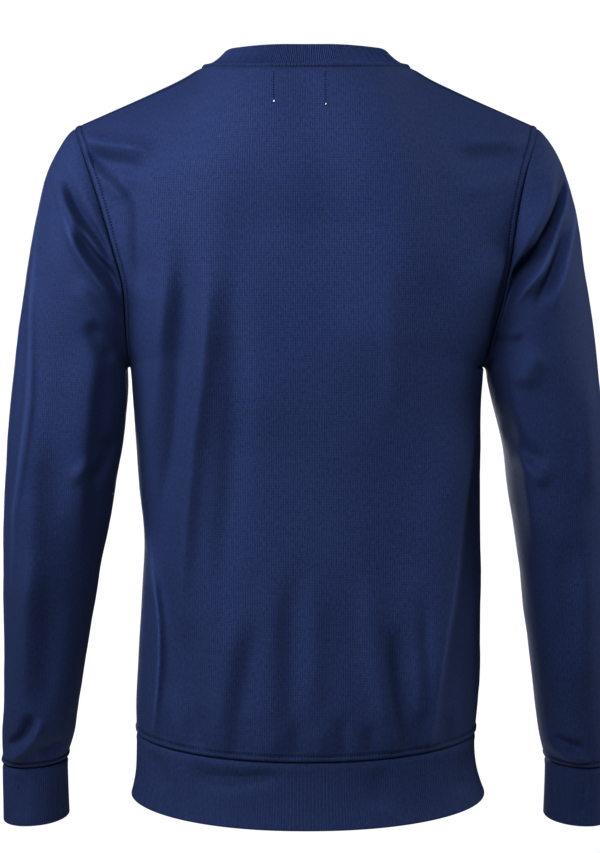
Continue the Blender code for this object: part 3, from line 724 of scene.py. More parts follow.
LEFT_BACK_CREASES = (
    (((0.155, -0.092), (0.151, -0.130), (0.150, -0.165), (0.148, -0.220)), 0.0085, -0.0034, 0.0),
    (((0.130, -0.168), (0.129, -0.217), (0.134, -0.262), (0.139, -0.308), (0.146, -0.380)),
     0.0090, 0.0036, 0.0),
    (((0.112, -0.135), (0.108, -0.217), (0.112, -0.261), (0.114, -0.307), (0.119, -0.353), (0.128, -0.400),
      (0.134, -0.480)), 0.0105, -0.0054, 0.0),
    (((0.088, -0.160), (0.088, -0.217), (0.091, -0.261), (0.096, -0.306), (0.103, -0.351), (0.107, -0.397),
      (0.111, -0.443), (0.115, -0.490), (0.117, -0.550)), 0.0100, 0.0052, 0.0, 0.3),
    (((0.064, -0.150), (0.065, -0.217), (0.065, -0.261), (0.064, -0.305), (0.066, -0.351), (0.069, -0.396),
      (0.072, -0.442), (0.074, -0.530)), 0.0125, -0.0034, 0.0),
    (((0.148, -0.420), (0.143, -0.454), (0.139, -0.480), (0.135, -0.511), (0.1345, -0.537), (0.136, -0.562),
      (0.139, -0.598), (0.144, -0.640)), 0.0046, 0.0046, 0.0, 0.5),
    (((0.130, -0.440), (0.126, -0.493), (0.122, -0.537), (0.118, -0.610)), 0.0085, -0.0028, 0.0),
    (((0.004, -0.440), (0.013, -0.521), (0.013, -0.557), (0.009, -0.635)), 0.0130, -0.0017, 0.0),
    (((0.026, -0.440), (0.033, -0.521), (0.032, -0.560), (0.030, -0.635)), 0.0130, 0.0014, 0.0),
    (((0.042, -0.490), (0.051, -0.550), (0.058, -0.590), (0.066, -0.640)), 0.0095, -0.0024, 0.0),
    (((0.064, -0.490), (0.073, -0.550), (0.080, -0.590), (0.086, -0.640)), 0.0095, 0.0020, 0.0),
    (((0.108, -0.500), (0.104, -0.579), (0.099, -0.640)), 0.0095, -0.0036, 0.0),
)
RIGHT_BACK_CREASES = (
    (((-0.184, -0.150), (-0.178, -0.180), (-0.168, -0.217), (-0.164, -0.245), (-0.162, -0.290),
      (-0.160, -0.330)), 0.0200, 0.0066, 0.5),
    (((-0.167, -0.260), (-0.160, -0.310), (-0.151, -0.355), (-0.143, -0.405), (-0.139, -0.445),
      (-0.134, -0.487), (-0.129, -0.516), (-0.124, -0.545), (-0.118, -0.585), (-0.109, -0.670)),
     0.0225, 0.0115, 0.78, 0.2),
    (((0.022, -0.080), (0.022, -0.200), (0.018, -0.320), (0.014, -0.460)), 0.0950, -0.0045, 0.0),
    (((-0.072, -0.180), (-0.078, -0.262), (-0.079, -0.330)), 0.0120, 0.0016, 0.0),
    (((-0.106, -0.470), (-0.108, -0.525), (-0.110, -0.575), (-0.103, -0.645)), 0.0070, -0.0020, 0.0),
    (((-0.080, -0.500), (-0.084, -0.545), (-0.088, -0.585), (-0.096, -0.650)), 0.0110, -0.0044, 0.0),
    (((-0.054, -0.450), (-0.062, -0.530), (-0.071, -0.577), (-0.082, -0.640)), 0.0110, 0.0026, 0.0),
    (((-0.003, -0.450), (-0.007, -0.530), (0.000, -0.600)), 0.0100, 0.0016, 0.0),
)
BACK_CREASES = SHOULDER_CREASES + LEFT_BACK_CREASES + RIGHT_BACK_CREASES
print(len(BACK_CREASES), "creases on the back")

# %% Gathers above the hem band, behind and in front
GATHER_NAMES = ("place", "half_width", "depth", "top")
BACK_GATHERS = (
    (0.129, 0.0055, -0.0013, -0.590),
    (0.095, 0.0070, -0.0017, -0.582),
    (0.073, 0.0060, 0.0010, -0.596),
    (0.051, 0.0065, -0.0015, -0.590),
    (0.029, 0.0070, 0.0009, -0.600),
    (0.008, 0.0060, -0.0012, -0.593),
    (-0.012, 0.0065, 0.0009, -0.598),
    (-0.033, 0.0065, -0.0015, -0.586),
    (-0.058, 0.0060, -0.0012, -0.594),
    (-0.081, 0.0070, 0.0010, -0.600),
    (-0.103, 0.0065, -0.0016, -0.584),
    (-0.129, 0.0060, -0.0015, -0.592),
)
FRONT_GATHERS = (
    (0.122, 0.0065, -0.0015, -0.588),
    (0.101, 0.0060, 0.0009, -0.598),
    (0.078, 0.0070, -0.0014, -0.584),
    (0.041, 0.0065, -0.0013, -0.592),
    (0.014, 0.0070, 0.0009, -0.600),
    (-0.017, 0.0060, -0.0015, -0.587),
    (-0.047, 0.0070, -0.0012, -0.595),
    (-0.069, 0.0060, 0.0010, -0.600),
    (-0.094, 0.0065, -0.0016, -0.583),
    (-0.126, 0.0060, -0.0014, -0.591),
)
GATHER_FOOT = -0.640
GATHER_DRIFT = 0.99


def gathers(rows):
    """Short creases that rise from the hem seam."""
    creases = []
    for row in rows:
        gather = dict(zip(GATHER_NAMES, row))
        line = ((gather["place"], GATHER_FOOT), (gather["place"] * GATHER_DRIFT, gather["top"]))
        creases.append((line, gather["half_width"], gather["depth"], 0.0))
    return tuple(creases)


print(len(gathers(BACK_GATHERS)) + len(gathers(FRONT_GATHERS)), "gathers")

# %% Creases of the front, which the photograph doesn't show
FRONT_CREASES = (
    (((0.108, -0.165), (0.112, -0.240), (0.118, -0.330), (0.112, -0.450)), 0.0110, -0.0062, 0.2),
    (((-0.112, -0.160), (-0.118, -0.250), (-0.121, -0.330), (-0.114, -0.420)), 0.0110, -0.0058, -0.2),
    (((0.086, -0.200), (0.092, -0.330), (0.099, -0.450), (0.096, -0.580)), 0.0115, 0.0046, 0.0),
    (((-0.086, -0.190), (-0.093, -0.330), (-0.098, -0.440), (-0.106, -0.560)), 0.0115, 0.0044, 0.0),
    (((0.061, -0.240), (0.066, -0.340), (0.072, -0.450)), 0.0120, -0.0034, 0.0),
    (((-0.060, -0.260), (-0.069, -0.380), (-0.071, -0.500)), 0.0120, -0.0032, 0.0),
    (((0.134, -0.190), (0.138, -0.270), (0.142, -0.350)), 0.0090, 0.0034, 0.0),
    (((-0.137, -0.200), (-0.141, -0.280), (-0.139, -0.340)), 0.0085, 0.0030, 0.0),
    (((0.027, -0.280), (0.024, -0.370), (0.019, -0.470)), 0.0150, -0.0024, 0.0),
    (((-0.034, -0.310), (-0.030, -0.420), (-0.036, -0.500)), 0.0150, -0.0020, 0.0),
    (((0.150, -0.400), (0.140, -0.490), (0.134, -0.550), (0.140, -0.620)), 0.0130, 0.0066, -0.4, 0.4),
    (((-0.152, -0.420), (-0.141, -0.510), (-0.137, -0.560), (-0.132, -0.622)), 0.0130, 0.0064, 0.4, 0.4),
    (((0.124, -0.460), (0.119, -0.530), (0.116, -0.600)), 0.0075, -0.0034, 0.0),
    (((-0.121, -0.480), (-0.114, -0.540), (-0.113, -0.605)), 0.0080, -0.0036, 0.0),
    (((0.074, -0.500), (0.080, -0.560), (0.086, -0.615)), 0.0085, -0.0034, 0.0),
    (((-0.078, -0.520), (-0.086, -0.570), (-0.090, -0.615)), 0.0085, -0.0032, 0.0),
    (((0.152, -0.118), (0.148, -0.150), (0.150, -0.196)), 0.0080, -0.0036, 0.0),
    (((-0.155, -0.120), (-0.150, -0.156), (-0.153, -0.200)), 0.0080, -0.0036, 0.0),
    (((0.190, -0.084), (0.166, -0.100), (0.138, -0.108)), 0.0080, -0.0034, 0.0),
    (((0.184, -0.102), (0.160, -0.120), (0.134, -0.128)), 0.0085, 0.0026, 0.0),
    (((-0.192, -0.088), (-0.166, -0.106), (-0.140, -0.116)), 0.0080, -0.0034, 0.0),
    (((-0.186, -0.108), (-0.162, -0.126), (-0.140, -0.138)), 0.0085, 0.0024, 0.0),
)
print(len(FRONT_CREASES), "creases on the front")

# %% Creases of the left sleeve
LEFT_SLEEVE_BEHIND = (
    (((0.220, -0.098), (0.207, -0.132), (0.194, -0.153), (0.179, -0.173), (0.160, -0.200)),
     0.0054, -0.0052, 0.0),
    (((0.229, -0.102), (0.214, -0.138), (0.201, -0.156), (0.188, -0.173), (0.168, -0.198)),
     0.0054, 0.0044, 0.0),
    (((0.210, -0.144), (0.195, -0.171), (0.184, -0.185), (0.169, -0.202), (0.152, -0.224)),
     0.0060, -0.0078, 0.2),
    (((0.221, -0.136), (0.204, -0.173), (0.194, -0.189), (0.180, -0.208), (0.160, -0.234)),
     0.0062, 0.0056, 0.0),
    (((0.208, -0.196), (0.194, -0.222), (0.180, -0.238), (0.170, -0.250)), 0.0090, 0.0022, 0.0),
    (((0.198, -0.236), (0.186, -0.256), (0.176, -0.278)), 0.0080, -0.0040, 0.0),
    (((0.252, -0.170), (0.257, -0.218), (0.260, -0.264), (0.261, -0.310), (0.267, -0.356), (0.276, -0.430)),
     0.0046, -0.0026, 0.0),
    (((0.240, -0.120), (0.247, -0.173), (0.249, -0.217), (0.250, -0.262), (0.251, -0.307), (0.258, -0.360),
      (0.267, -0.415), (0.273, -0.500)), 0.0046, 0.0036, 0.0, 0.5),
    (((0.252, -0.290), (0.255, -0.415), (0.259, -0.560)), 0.0180, 0.0070, 0.0),
    (((0.182, -0.226), (0.188, -0.263), (0.195, -0.309), (0.200, -0.355), (0.205, -0.401), (0.209, -0.470)),
     0.0130, 0.0062, 0.5, 0.2),
    (((0.218, -0.386), (0.200, -0.370), (0.184, -0.354)), 0.0060, 0.0024, 0.0),
    (((0.176, -0.338), (0.187, -0.366), (0.199, -0.394)), 0.0060, -0.0030, 0.0),
    (((0.254, -0.440), (0.260, -0.516), (0.267, -0.600)), 0.0130, 0.0030, 0.0),
    (((0.235, -0.480), (0.243, -0.554), (0.249, -0.620)), 0.0120, -0.0034, 0.0),
    (((0.292, -0.663), (0.279, -0.654), (0.266, -0.643), (0.257, -0.632), (0.250, -0.610)),
     0.0060, 0.0052, 0.2),
    (((0.290, -0.650), (0.274, -0.639), (0.264, -0.628), (0.260, -0.606)), 0.0065, -0.0044, 0.0),
    (((0.254, -0.652), (0.240, -0.644), (0.230, -0.640)), 0.0060, -0.0036, 0.0),
)
LEFT_SLEEVE_BEFORE = (
    (((0.224, -0.112), (0.206, -0.140), (0.186, -0.168)), 0.0070, -0.0052, 0.2),
    (((0.214, -0.158), (0.196, -0.186), (0.172, -0.216)), 0.0085, -0.0098, 0.2),
    (((0.228, -0.134), (0.212, -0.166), (0.190, -0.194)), 0.0070, 0.0046, 0.0),
    (((0.224, -0.176), (0.206, -0.210), (0.184, -0.240)), 0.0090, 0.0052, 0.0),
    (((0.210, -0.230), (0.196, -0.252), (0.182, -0.276)), 0.0090, -0.0042, 0.0),
    (((0.248, -0.220), (0.252, -0.310), (0.248, -0.400)), 0.0100, 0.0040, 0.0),
    (((0.236, -0.348), (0.216, -0.364), (0.196, -0.388)), 0.0075, -0.0044, 0.0),
    (((0.238, -0.368), (0.222, -0.384), (0.204, -0.408)), 0.0070, 0.0034, 0.0),
    (((0.264, -0.450), (0.258, -0.530), (0.262, -0.600)), 0.0120, -0.0034, 0.0),
    (((0.240, -0.470), (0.238, -0.540), (0.246, -0.610)), 0.0120, 0.0030, 0.0),
    (((0.290, -0.656), (0.272, -0.642), (0.256, -0.622)), 0.0060, 0.0046, 0.0),
    (((0.282, -0.640), (0.264, -0.628), (0.250, -0.610)), 0.0065, -0.0038, 0.0),
)
print(len(LEFT_SLEEVE_BEHIND) + len(LEFT_SLEEVE_BEFORE), "creases on the left sleeve")

# %% Creases of the right sleeve
RIGHT_SLEEVE_BEHIND = (
    (((-0.238, -0.092), (-0.232, -0.120), (-0.223, -0.145), (-0.207, -0.170)), 0.0056, -0.0078, -0.3),
    (((-0.243, -0.088), (-0.240, -0.114), (-0.226, -0.159), (-0.213, -0.190), (-0.193, -0.213),
      (-0.184, -0.245)), 0.0052, 0.0056, 0.0, 0.5),
    (((-0.226, -0.100), (-0.216, -0.138), (-0.204, -0.156), (-0.188, -0.176)), 0.0070, 0.0040, 0.0),
    (((-0.221, -0.146), (-0.207, -0.174), (-0.194, -0.189), (-0.180, -0.206), (-0.172, -0.222),
      (-0.170, -0.250), (-0.170, -0.285)), 0.0074, -0.0140, -0.4),
    (((-0.234, -0.140), (-0.226, -0.174), (-0.217, -0.202), (-0.204, -0.228)), 0.0054, -0.0044, 0.0),
    (((-0.250, -0.120), (-0.243, -0.160), (-0.233, -0.194), (-0.220, -0.236)), 0.0052, 0.0036, 0.0, 0.4),
    (((-0.170, -0.246), (-0.183, -0.248), (-0.197, -0.250)), 0.0042, 0.0020, 0.0),
    (((-0.170, -0.255), (-0.184, -0.255), (-0.199, -0.256)), 0.0042, -0.0024, 0.0),
    (((-0.216, -0.262), (-0.204, -0.276), (-0.196, -0.300)), 0.0110, 0.0036, 0.0),
    (((-0.181, -0.245), (-0.184, -0.282), (-0.191, -0.319), (-0.198, -0.356), (-0.205, -0.400),
      (-0.214, -0.470)), 0.0110, 0.0056, -0.5, 0.4),
    (((-0.180, -0.326), (-0.192, -0.345), (-0.204, -0.358), (-0.220, -0.372)), 0.0075, -0.0042, 0.0),
    (((-0.190, -0.362), (-0.206, -0.374), (-0.222, -0.388)), 0.0070, 0.0030, 0.0),
    (((-0.264, -0.280), (-0.261, -0.346), (-0.263, -0.410)), 0.0110, 0.0038, 0.0),
    (((-0.238, -0.430), (-0.241, -0.500), (-0.240, -0.570)), 0.0130, -0.0030, 0.0),
    (((-0.258, -0.440), (-0.262, -0.520), (-0.266, -0.600)), 0.0130, 0.0028, 0.0),
    (((-0.230, -0.640), (-0.243, -0.650), (-0.257, -0.656), (-0.274, -0.657)), 0.0055, 0.0038, 0.0),
    (((-0.232, -0.630), (-0.247, -0.639), (-0.268, -0.645)), 0.0060, -0.0040, 0.0),
)
RIGHT_SLEEVE_BEFORE = (
    (((-0.228, -0.110), (-0.212, -0.142), (-0.190, -0.170)), 0.0070, -0.0050, -0.2),
    (((-0.220, -0.166), (-0.202, -0.194), (-0.180, -0.222)), 0.0085, -0.0094, -0.2),
    (((-0.236, -0.142), (-0.218, -0.176), (-0.196, -0.204)), 0.0070, 0.0044, 0.0),
    (((-0.230, -0.184), (-0.210, -0.220), (-0.188, -0.248)), 0.0090, 0.0050, 0.0),
    (((-0.212, -0.240), (-0.200, -0.260), (-0.188, -0.284)), 0.0090, -0.0038, 0.0),
    (((-0.252, -0.240), (-0.257, -0.330), (-0.252, -0.420)), 0.0100, 0.0038, 0.0),
    (((-0.236, -0.356), (-0.218, -0.372), (-0.202, -0.398)), 0.0075, -0.0042, 0.0),
    (((-0.240, -0.378), (-0.224, -0.392), (-0.210, -0.414)), 0.0070, 0.0032, 0.0),
    (((-0.262, -0.470), (-0.256, -0.550), (-0.262, -0.606)), 0.0120, -0.0032, 0.0),
    (((-0.242, -0.480), (-0.238, -0.550), (-0.246, -0.615)), 0.0120, 0.0030, 0.0),
    (((-0.288, -0.654), (-0.270, -0.640), (-0.254, -0.620)), 0.0060, 0.0044, 0.0),
    (((-0.280, -0.638), (-0.262, -0.626), (-0.250, -0.608)), 0.0065, -0.0036, 0.0),
)
print(len(RIGHT_SLEEVE_BEHIND) + len(RIGHT_SLEEVE_BEFORE), "creases on the right sleeve")

# %% [markdown]
# ## Painted highlights along folds
# The sharpest folds catch the light along their crests, and that highlight is painted
# into the cloth's colour as fine paler lines. They follow the folds, so they could be
# painted by eye on a picture. The same rows of points as a crease has keep them in step
# with the tables above, with a strength of the painted highlight in place of a depth.

# %% Painted highlights along fold ridges
BACK_PAINTED_HIGHLIGHTS = (
    (((0.148, -0.410), (0.143, -0.454), (0.139, -0.480), (0.135, -0.511), (0.1345, -0.537),
      (0.136, -0.562), (0.139, -0.598), (0.144, -0.640)), 0.0016, 0.40, 0.0),
    (((-0.143, -0.405), (-0.139, -0.445), (-0.134, -0.487), (-0.129, -0.516), (-0.124, -0.545),
      (-0.118, -0.585), (-0.109, -0.670)), 0.0016, 0.34, 0.0),
)
LEFT_PAINTED_HIGHLIGHTS = (
    (((0.240, -0.110), (0.248, -0.173), (0.251, -0.217), (0.253, -0.262), (0.254, -0.307), (0.261, -0.360),
      (0.270, -0.415), (0.275, -0.500)), 0.0020, 0.45, 0.0),
    (((0.226, -0.118), (0.217, -0.146), (0.208, -0.172)), 0.0018, 0.30, 0.0),
)
RIGHT_PAINTED_HIGHLIGHTS = (
    (((-0.243, -0.088), (-0.240, -0.114), (-0.226, -0.159), (-0.213, -0.190), (-0.193, -0.213)),
     0.0018, 0.45, 0.0),
    (((-0.250, -0.120), (-0.243, -0.160), (-0.233, -0.194), (-0.222, -0.226)), 0.0018, 0.45, 0.0),
)
print(len(BACK_PAINTED_HIGHLIGHTS + LEFT_PAINTED_HIGHLIGHTS + RIGHT_PAINTED_HIGHLIGHTS), "pressed folds")

# %% [markdown]
# ## Seams
# At a seam the cut edges are folded to the inside and stitched down, so the cloth there
# is three layers thick and stands up as a roll, with a groove at each row of stitches.
# The profiles below give the height of the cloth at a distance from its edge. A bevelled
# curve along each seam would be easier, but it would lie on the cloth like a cord. Here
# the roll is part of the cloth, and the piece sewn to it dips under its edge.

# %% Profiles across the seams
ARMHOLE_ROLL = (
    (0.0, -0.0004), (0.0009, 0.0001), (0.0028, 0.0005), (0.0048, 0.0003), (0.0060, -0.0003),
    (0.0074, 0.0), (0.0100, 0.0),
)
SLEEVE_HEAD = ((0.0, -0.0005), (0.0015, -0.0001), (0.0040, 0.0001), (0.0065, 0.0001), (0.0100, 0.0))
HEM_ROLL = (
    (0.0, -0.0007), (0.0010, 0.0006), (0.0030, 0.0013), (0.0050, 0.0007), (0.0062, -0.0004),
    (0.0078, 0.0001), (0.0100, 0.0),
)
BAND_HEAD = ((0.0, -0.0014), (0.0012, -0.0010), (0.0032, 0.0), (0.0100, 0.0))
NECK_ROLL = (
    (0.0, -0.0010), (0.0009, 0.0002), (0.0024, 0.0010), (0.0046, 0.0003), (0.0064, 0.0),
    (0.0100, 0.0),
)
NECK_EDGE = ((0.0, -0.0016), (0.0012, -0.0009), (0.0034, 0.0), (0.0100, 0.0))
SIDE_SEAM = ((0.0, -0.0010), (0.0012, -0.0003), (0.0032, 0.0001), (0.0100, 0.0))
SHOULDER_SEAM = (
    (0.0, -0.0008), (0.0010, 0.0002), (0.0030, 0.0006), (0.0052, -0.0003), (0.0070, 0.0),
    (0.0100, 0.0),
)
PROFILE_SAMPLES = 100


def profile(distance, table):
    """The height of a seam's profile at each distance from the cloth's edge."""
    places, heights = np.array(table).T
    stations = np.linspace(places[0], places[-1], PROFILE_SAMPLES)
    return np.interp(distance, stations, smooth_curve(heights, places, stations))


print("armhole roll stands", profile(0.003, ARMHOLE_ROLL).round(5))

# %% Rows of needle holes
ARMHOLE_STITCHES = (0.0060, 0.0010)
HEM_STITCHES = (0.0006, 0.0062)
NECK_STITCHES = (0.0004,)
SHOULDER_STITCHES = (0.0052,)
NEEDLE_WIDTH = 0.0010


def needles(distance, rows):
    """Where a needle passes: 1 on a row of stitches, 0 away from it."""
    return sum(np.exp(-(((distance - row) / NEEDLE_WIDTH) ** 2)) for row in rows)


print("needle rows at the hem:", HEM_STITCHES)

# %% [markdown]
# ## Cloth that is never quite even
# Between its folds, cloth still waves a little. A few dozen long waves, each in its own
# direction, add up to a surface that never repeats. A displacement modifier with a
# clouds texture would do as well. Waves in space have the advantage that they run on
# across seams and round a sleeve.

# %% Soft waves
WAVE_COUNT = 28
WAVE_SPREAD = (0.7, 1.5)


def waves(fine, seed, size):
    """Uneven waves of about one size, mostly between -1 and 1."""
    chance = np.random.default_rng(seed)
    total = np.zeros(fine.shape[:-1])
    for _ in range(WAVE_COUNT):
        heading = chance.normal(size=3)
        heading /= np.linalg.norm(heading) * size * chance.uniform(*WAVE_SPREAD)
        total += np.sin(fine @ heading * 2 * math.pi + chance.uniform(0.0, 2 * math.pi))
    return total / math.sqrt(WAVE_COUNT)


def cloth_normals(fine, closed):
    """Unit normals of a grid of cloth, rows by columns."""
    across = np.gradient(fine, axis=1)
    if closed:
        across[:, 0] = across[:, -1] = fine[:, 1] - fine[:, -2]
    normals = np.cross(across, np.gradient(fine, axis=0))
    return normals / np.linalg.norm(normals, axis=-1, keepdims=True)


print("a wave at the origin:", waves(np.zeros((1, 1, 3)), 4, 0.05).round(3))

# %% [markdown]
# ## The back and the front
# Both panels are cut from one width of jersey and sewn at the sides and shoulders. The
# creases are laid on first, and they calm down within a few millimetres of a seam,
# where three layers of cloth stiffen them. Then come the rolls of the seams.

# %% Relief of a panel
WAVE_SIZE = 0.062
WAVE_HEIGHT = 0.00045
RIPPLE_SIZE = 0.017
RIPPLE_HEIGHT = 0.00007
CREASE_CALM = (0.001, 0.012)
UNDERARM_CHANGE = (SIDE_STEPS - 0.3, SIDE_STEPS + 0.5)
NECK_POINT_CHANGE = (HALF_NECK_STEPS - 0.1, HALF_NECK_STEPS + 0.3)


def farthest(points, fine):
    """How far a piece of cloth lies off its form at most."""
    return np.linalg.norm(points - fine, axis=-1).max().round(4)


def panel_relief(fine, rows, columns, creases, seed):
    """Where the cloth of a panel lies off its form, and its needle holes."""
    from_hem = distance_from(fine, "bottom")
    from_top = distance_from(fine, "top")
    from_side = np.minimum(distance_from(fine, "first"), distance_from(fine, "last"))
    normals = cloth_normals(fine, False)
    calm = smooth_step(np.minimum(np.minimum(from_hem, from_top), from_side), *CREASE_CALM)
    push = crease_lift(fine, creases) * calm * np.sign(normals[..., 1].mean())
    lift = WAVE_HEIGHT * waves(fine, seed, WAVE_SIZE) * calm
    lift += RIPPLE_HEIGHT * waves(fine, seed + 1, RIPPLE_SIZE) * calm
    by_armhole = smooth_step(rows, *UNDERARM_CHANGE)[:, None]
    by_shoulder = smooth_step(np.abs(columns - HALF_COLUMNS), *NECK_POINT_CHANGE)[None, :]
    lift += profile(from_hem, HEM_ROLL)
    lift += profile(from_side, ARMHOLE_ROLL) * by_armhole + profile(from_side, SIDE_SEAM) * (1 - by_armhole)
    lift += profile(from_top, SHOULDER_SEAM) * by_shoulder + profile(from_top, NECK_EDGE) * (1 - by_shoulder)
    holes = needles(from_hem, HEM_STITCHES) + needles(from_side, ARMHOLE_STITCHES) * by_armhole
    points = fine + normals * lift[..., None] + push[..., None] * (0.0, 1.0, 0.0)
    return points, holes + needles(from_top, SHOULDER_STITCHES) * by_shoulder


back_cloth_points, back_holes = panel_relief(
    back_fine, back_rows, back_columns, BACK_CREASES + gathers(BACK_GATHERS), seed=11,
)
front_cloth_points, front_holes = panel_relief(
    front_fine, front_rows, front_columns, FRONT_CREASES + gathers(FRONT_GATHERS), seed=23,
)
print("back lies off its form by up to", farthest(back_cloth_points, back_fine))

# %% Relief of a sleeve
SIDE_FADE = 0.30


def sleeve_relief(fine, behind, before, seed):
    """Where the cloth of a sleeve lies off its form, and its needle holes."""
    from_cuff = distance_from(fine, "bottom")
    from_armhole = distance_from(fine, "top")
    normals = cloth_normals(fine, True)
    calm = smooth_step(np.minimum(from_cuff, from_armhole), *CREASE_CALM)
    push = crease_lift(fine, behind) * smooth_step(normals[..., 1], 0.0, SIDE_FADE)
    push -= crease_lift(fine, before) * smooth_step(-normals[..., 1], 0.0, SIDE_FADE)
    lift = WAVE_HEIGHT * waves(fine, seed, WAVE_SIZE) * calm
    lift += RIPPLE_HEIGHT * waves(fine, seed + 1, RIPPLE_SIZE) * calm
    lift += profile(from_cuff, HEM_ROLL) + profile(from_armhole, SLEEVE_HEAD)
    points = fine + normals * lift[..., None] + (push * calm)[..., None] * (0.0, 1.0, 0.0)
    return points, needles(from_cuff, HEM_STITCHES)


left_cloth_points, left_holes = sleeve_relief(
    left_fine, LEFT_SLEEVE_BEHIND, LEFT_SLEEVE_BEFORE, seed=37,
)
right_cloth_points, right_holes = sleeve_relief(
    right_fine, RIGHT_SLEEVE_BEHIND, RIGHT_SLEEVE_BEFORE, seed=41,
)
print("left sleeve lies off its form by up to", farthest(left_cloth_points, left_fine))

# %% [markdown]
# ## Making a piece of cloth
# Blender's grid primitive is a flat sheet of squares with a UV map, which is just what
# a cut piece of cloth is before it is sewn. Its points are moved to their places on the
# garment, its UV map becomes the flat cut in metres, and Solidify gives it a wall. A
# tube is a sheet whose two long edges are welded, as the underarm seam does.

# %% A sheet of cloth from a grid
WELD_DISTANCE = 0.00002


def cloth_sheet(name, points, flat, layers, finish):
    """A sheet of cloth through a grid of points, with its cut as the UV map."""
    rows, columns = points.shape[:2]
    bpy.ops.mesh.primitive_grid_add(x_subdivisions=columns - 1, y_subdivisions=rows - 1, size=1.0)
    sheet = bpy.context.object
    sheet.name = sheet.data.name = name
    mesh = sheet.data
    mesh.vertices.foreach_set("co", points.astype(np.float32).ravel())
    corners = np.empty(len(mesh.loops), dtype=np.int32)
    mesh.loops.foreach_get("vertex_index", corners)
    mesh.uv_layers.active.data.foreach_set("uv", flat.reshape(-1, 2)[corners].astype(np.float32).ravel())
    for title, values in layers.items():
        layer = mesh.attributes.new(title, "FLOAT", "POINT")
        layer.data.foreach_set("value", values.astype(np.float32).ravel())
    mesh.materials.append(finish)
    bpy.ops.object.mode_set(mode="EDIT")
    bpy.ops.mesh.select_all(action="SELECT")
    bpy.ops.mesh.remove_doubles(threshold=WELD_DISTANCE)
    bpy.ops.object.mode_set(mode="OBJECT")
    bpy.ops.object.shade_smooth()
    return sheet


def give_wall(sheet, thickness):
    """Give a sheet a wall on its inner side."""
    wall = sheet.modifiers.new("wall", "SOLIDIFY")
    wall.thickness = thickness
    wall.offset = -1.0
    bpy.ops.object.modifier_apply(modifier=wall.name)


def flat_cut(fine):
    """Where each point lies on the flat cut, in metres, from its middle line."""
    u = down_columns(fine.swapaxes(0, 1)).T
    u = u - u[:, u.shape[1] // 2][:, None]
    return np.stack([u, down_columns(fine)], axis=-1)


def cut_size(fine):
    """Width, length and area of the flat cut."""
    flat = flat_cut(fine)
    sides = np.cross(fine[1:, :-1] - fine[:-1, :-1], fine[:-1, 1:] - fine[:-1, :-1])
    width = (flat[..., 0].max(axis=1) - flat[..., 0].min(axis=1)).max()
    return width, flat[..., 1].max(), np.linalg.norm(sides, axis=-1).sum()


print("back cut", [round(float(value), 3) for value in cut_size(back_fine)])

# %% [markdown]
# ## Materials
# Jersey is a plain knit: upright columns of small V-shaped stitches, called wales. From
# a step away the stitches melt into a soft, slightly streaky navy with a faint bloom of
# loose fibre. The rib of the bands is the same yarn, knitted finer. A picture of cloth
# could be mapped on, but shader maths keeps the stitches sharp at every distance, and
# the UV map in metres puts them at their real size. Painted shade darkens the cloth in
# the needle holes, and a painted highlight pales it along fold ridges, each by a number
# that the sheet carries at its points.

# %% Sums on shader sockets
class Reading:
    """A number that changes over a surface, on which ordinary sums work."""

    def __init__(self, finish, socket):
        self.finish = finish
        self.socket = socket

    def sum(self, operation, first, second=0.0):
        node = self.finish.add("ShaderNodeMath", {"operation": operation}, {0: first, 1: second})
        return Reading(self.finish, node.outputs[0])

    def __add__(self, other):
        return self.sum("ADD", self, other)

    def __sub__(self, other):
        return self.sum("SUBTRACT", self, other)

    def __rsub__(self, other):
        return self.sum("SUBTRACT", other, self)

    def __mul__(self, other):
        return self.sum("MULTIPLY", self, other)

    __radd__ = __add__
    __rmul__ = __mul__


print("readings can be added, taken away and multiplied")


# %% A material and its nodes
SHEEN_ROUGHNESS = 0.5
SHEEN_BLUE = (0.30, 0.42, 0.90, 1.0)
GLOSS = 0.30
GLOSS_BLUE = (0.30, 0.42, 1.0, 1.0)
NOISE_DETAIL = 2.0


class Finish:
    """A material under construction."""

    def __init__(self, name, roughness, sheen):
        self.material = bpy.data.materials.new(name)
        self.material.use_nodes = True
        self.tree = self.material.node_tree
        self.shader = self.tree.nodes["Principled BSDF"]
        for title, value in (
            ("Roughness", roughness), ("Sheen Weight", sheen), ("Sheen Roughness", SHEEN_ROUGHNESS),
            ("Sheen Tint", SHEEN_BLUE), ("Specular IOR Level", GLOSS), ("Specular Tint", GLOSS_BLUE),
        ):
            self.shader.inputs[title].default_value = value

    def add(self, kind, settings, values):
        """A node of a kind, its settings made first, then its sockets' values or links."""
        node = self.tree.nodes.new(kind)
        for name, setting in settings.items():
            setattr(node, name, setting)
        for place, value in values.items():
            self.join(value, node.inputs[place])
        return node

    def join(self, value, socket):
        """Link a reading or socket to a socket, or give it a value."""
        if isinstance(value, Reading):
            self.tree.links.new(value.socket, socket)
        elif isinstance(value, bpy.types.NodeSocket):
            self.tree.links.new(value, socket)
        else:
            socket.default_value = value

    def attribute(self, title):
        """A piece's own number at each point."""
        return Reading(self, self.add("ShaderNodeAttribute", {"attribute_name": title}, {}).outputs["Fac"])

    def noise(self, where, scale):
        """Random cloudiness around 0.5."""
        node = self.add("ShaderNodeTexNoise", {}, {"Vector": where, "Scale": scale, "Detail": NOISE_DETAIL})
        return Reading(self, node.outputs["Fac"])

    def stretched(self, where, across, upward):
        """A pattern's place, closer together across than upward."""
        return self.add("ShaderNodeMapping", {}, {"Vector": where, "Scale": (across, upward, 1.0)}).outputs[0]


print("a finish holds its material, node tree and shader")


# %% The height of a knit
WALE = 0.00105
COURSE = 0.00085
WALE_SHARE = 0.6
STITCH_SHARE = 0.4
STITCH_LEAN = 1.2
NEEDLE_PITCH = 0.0028


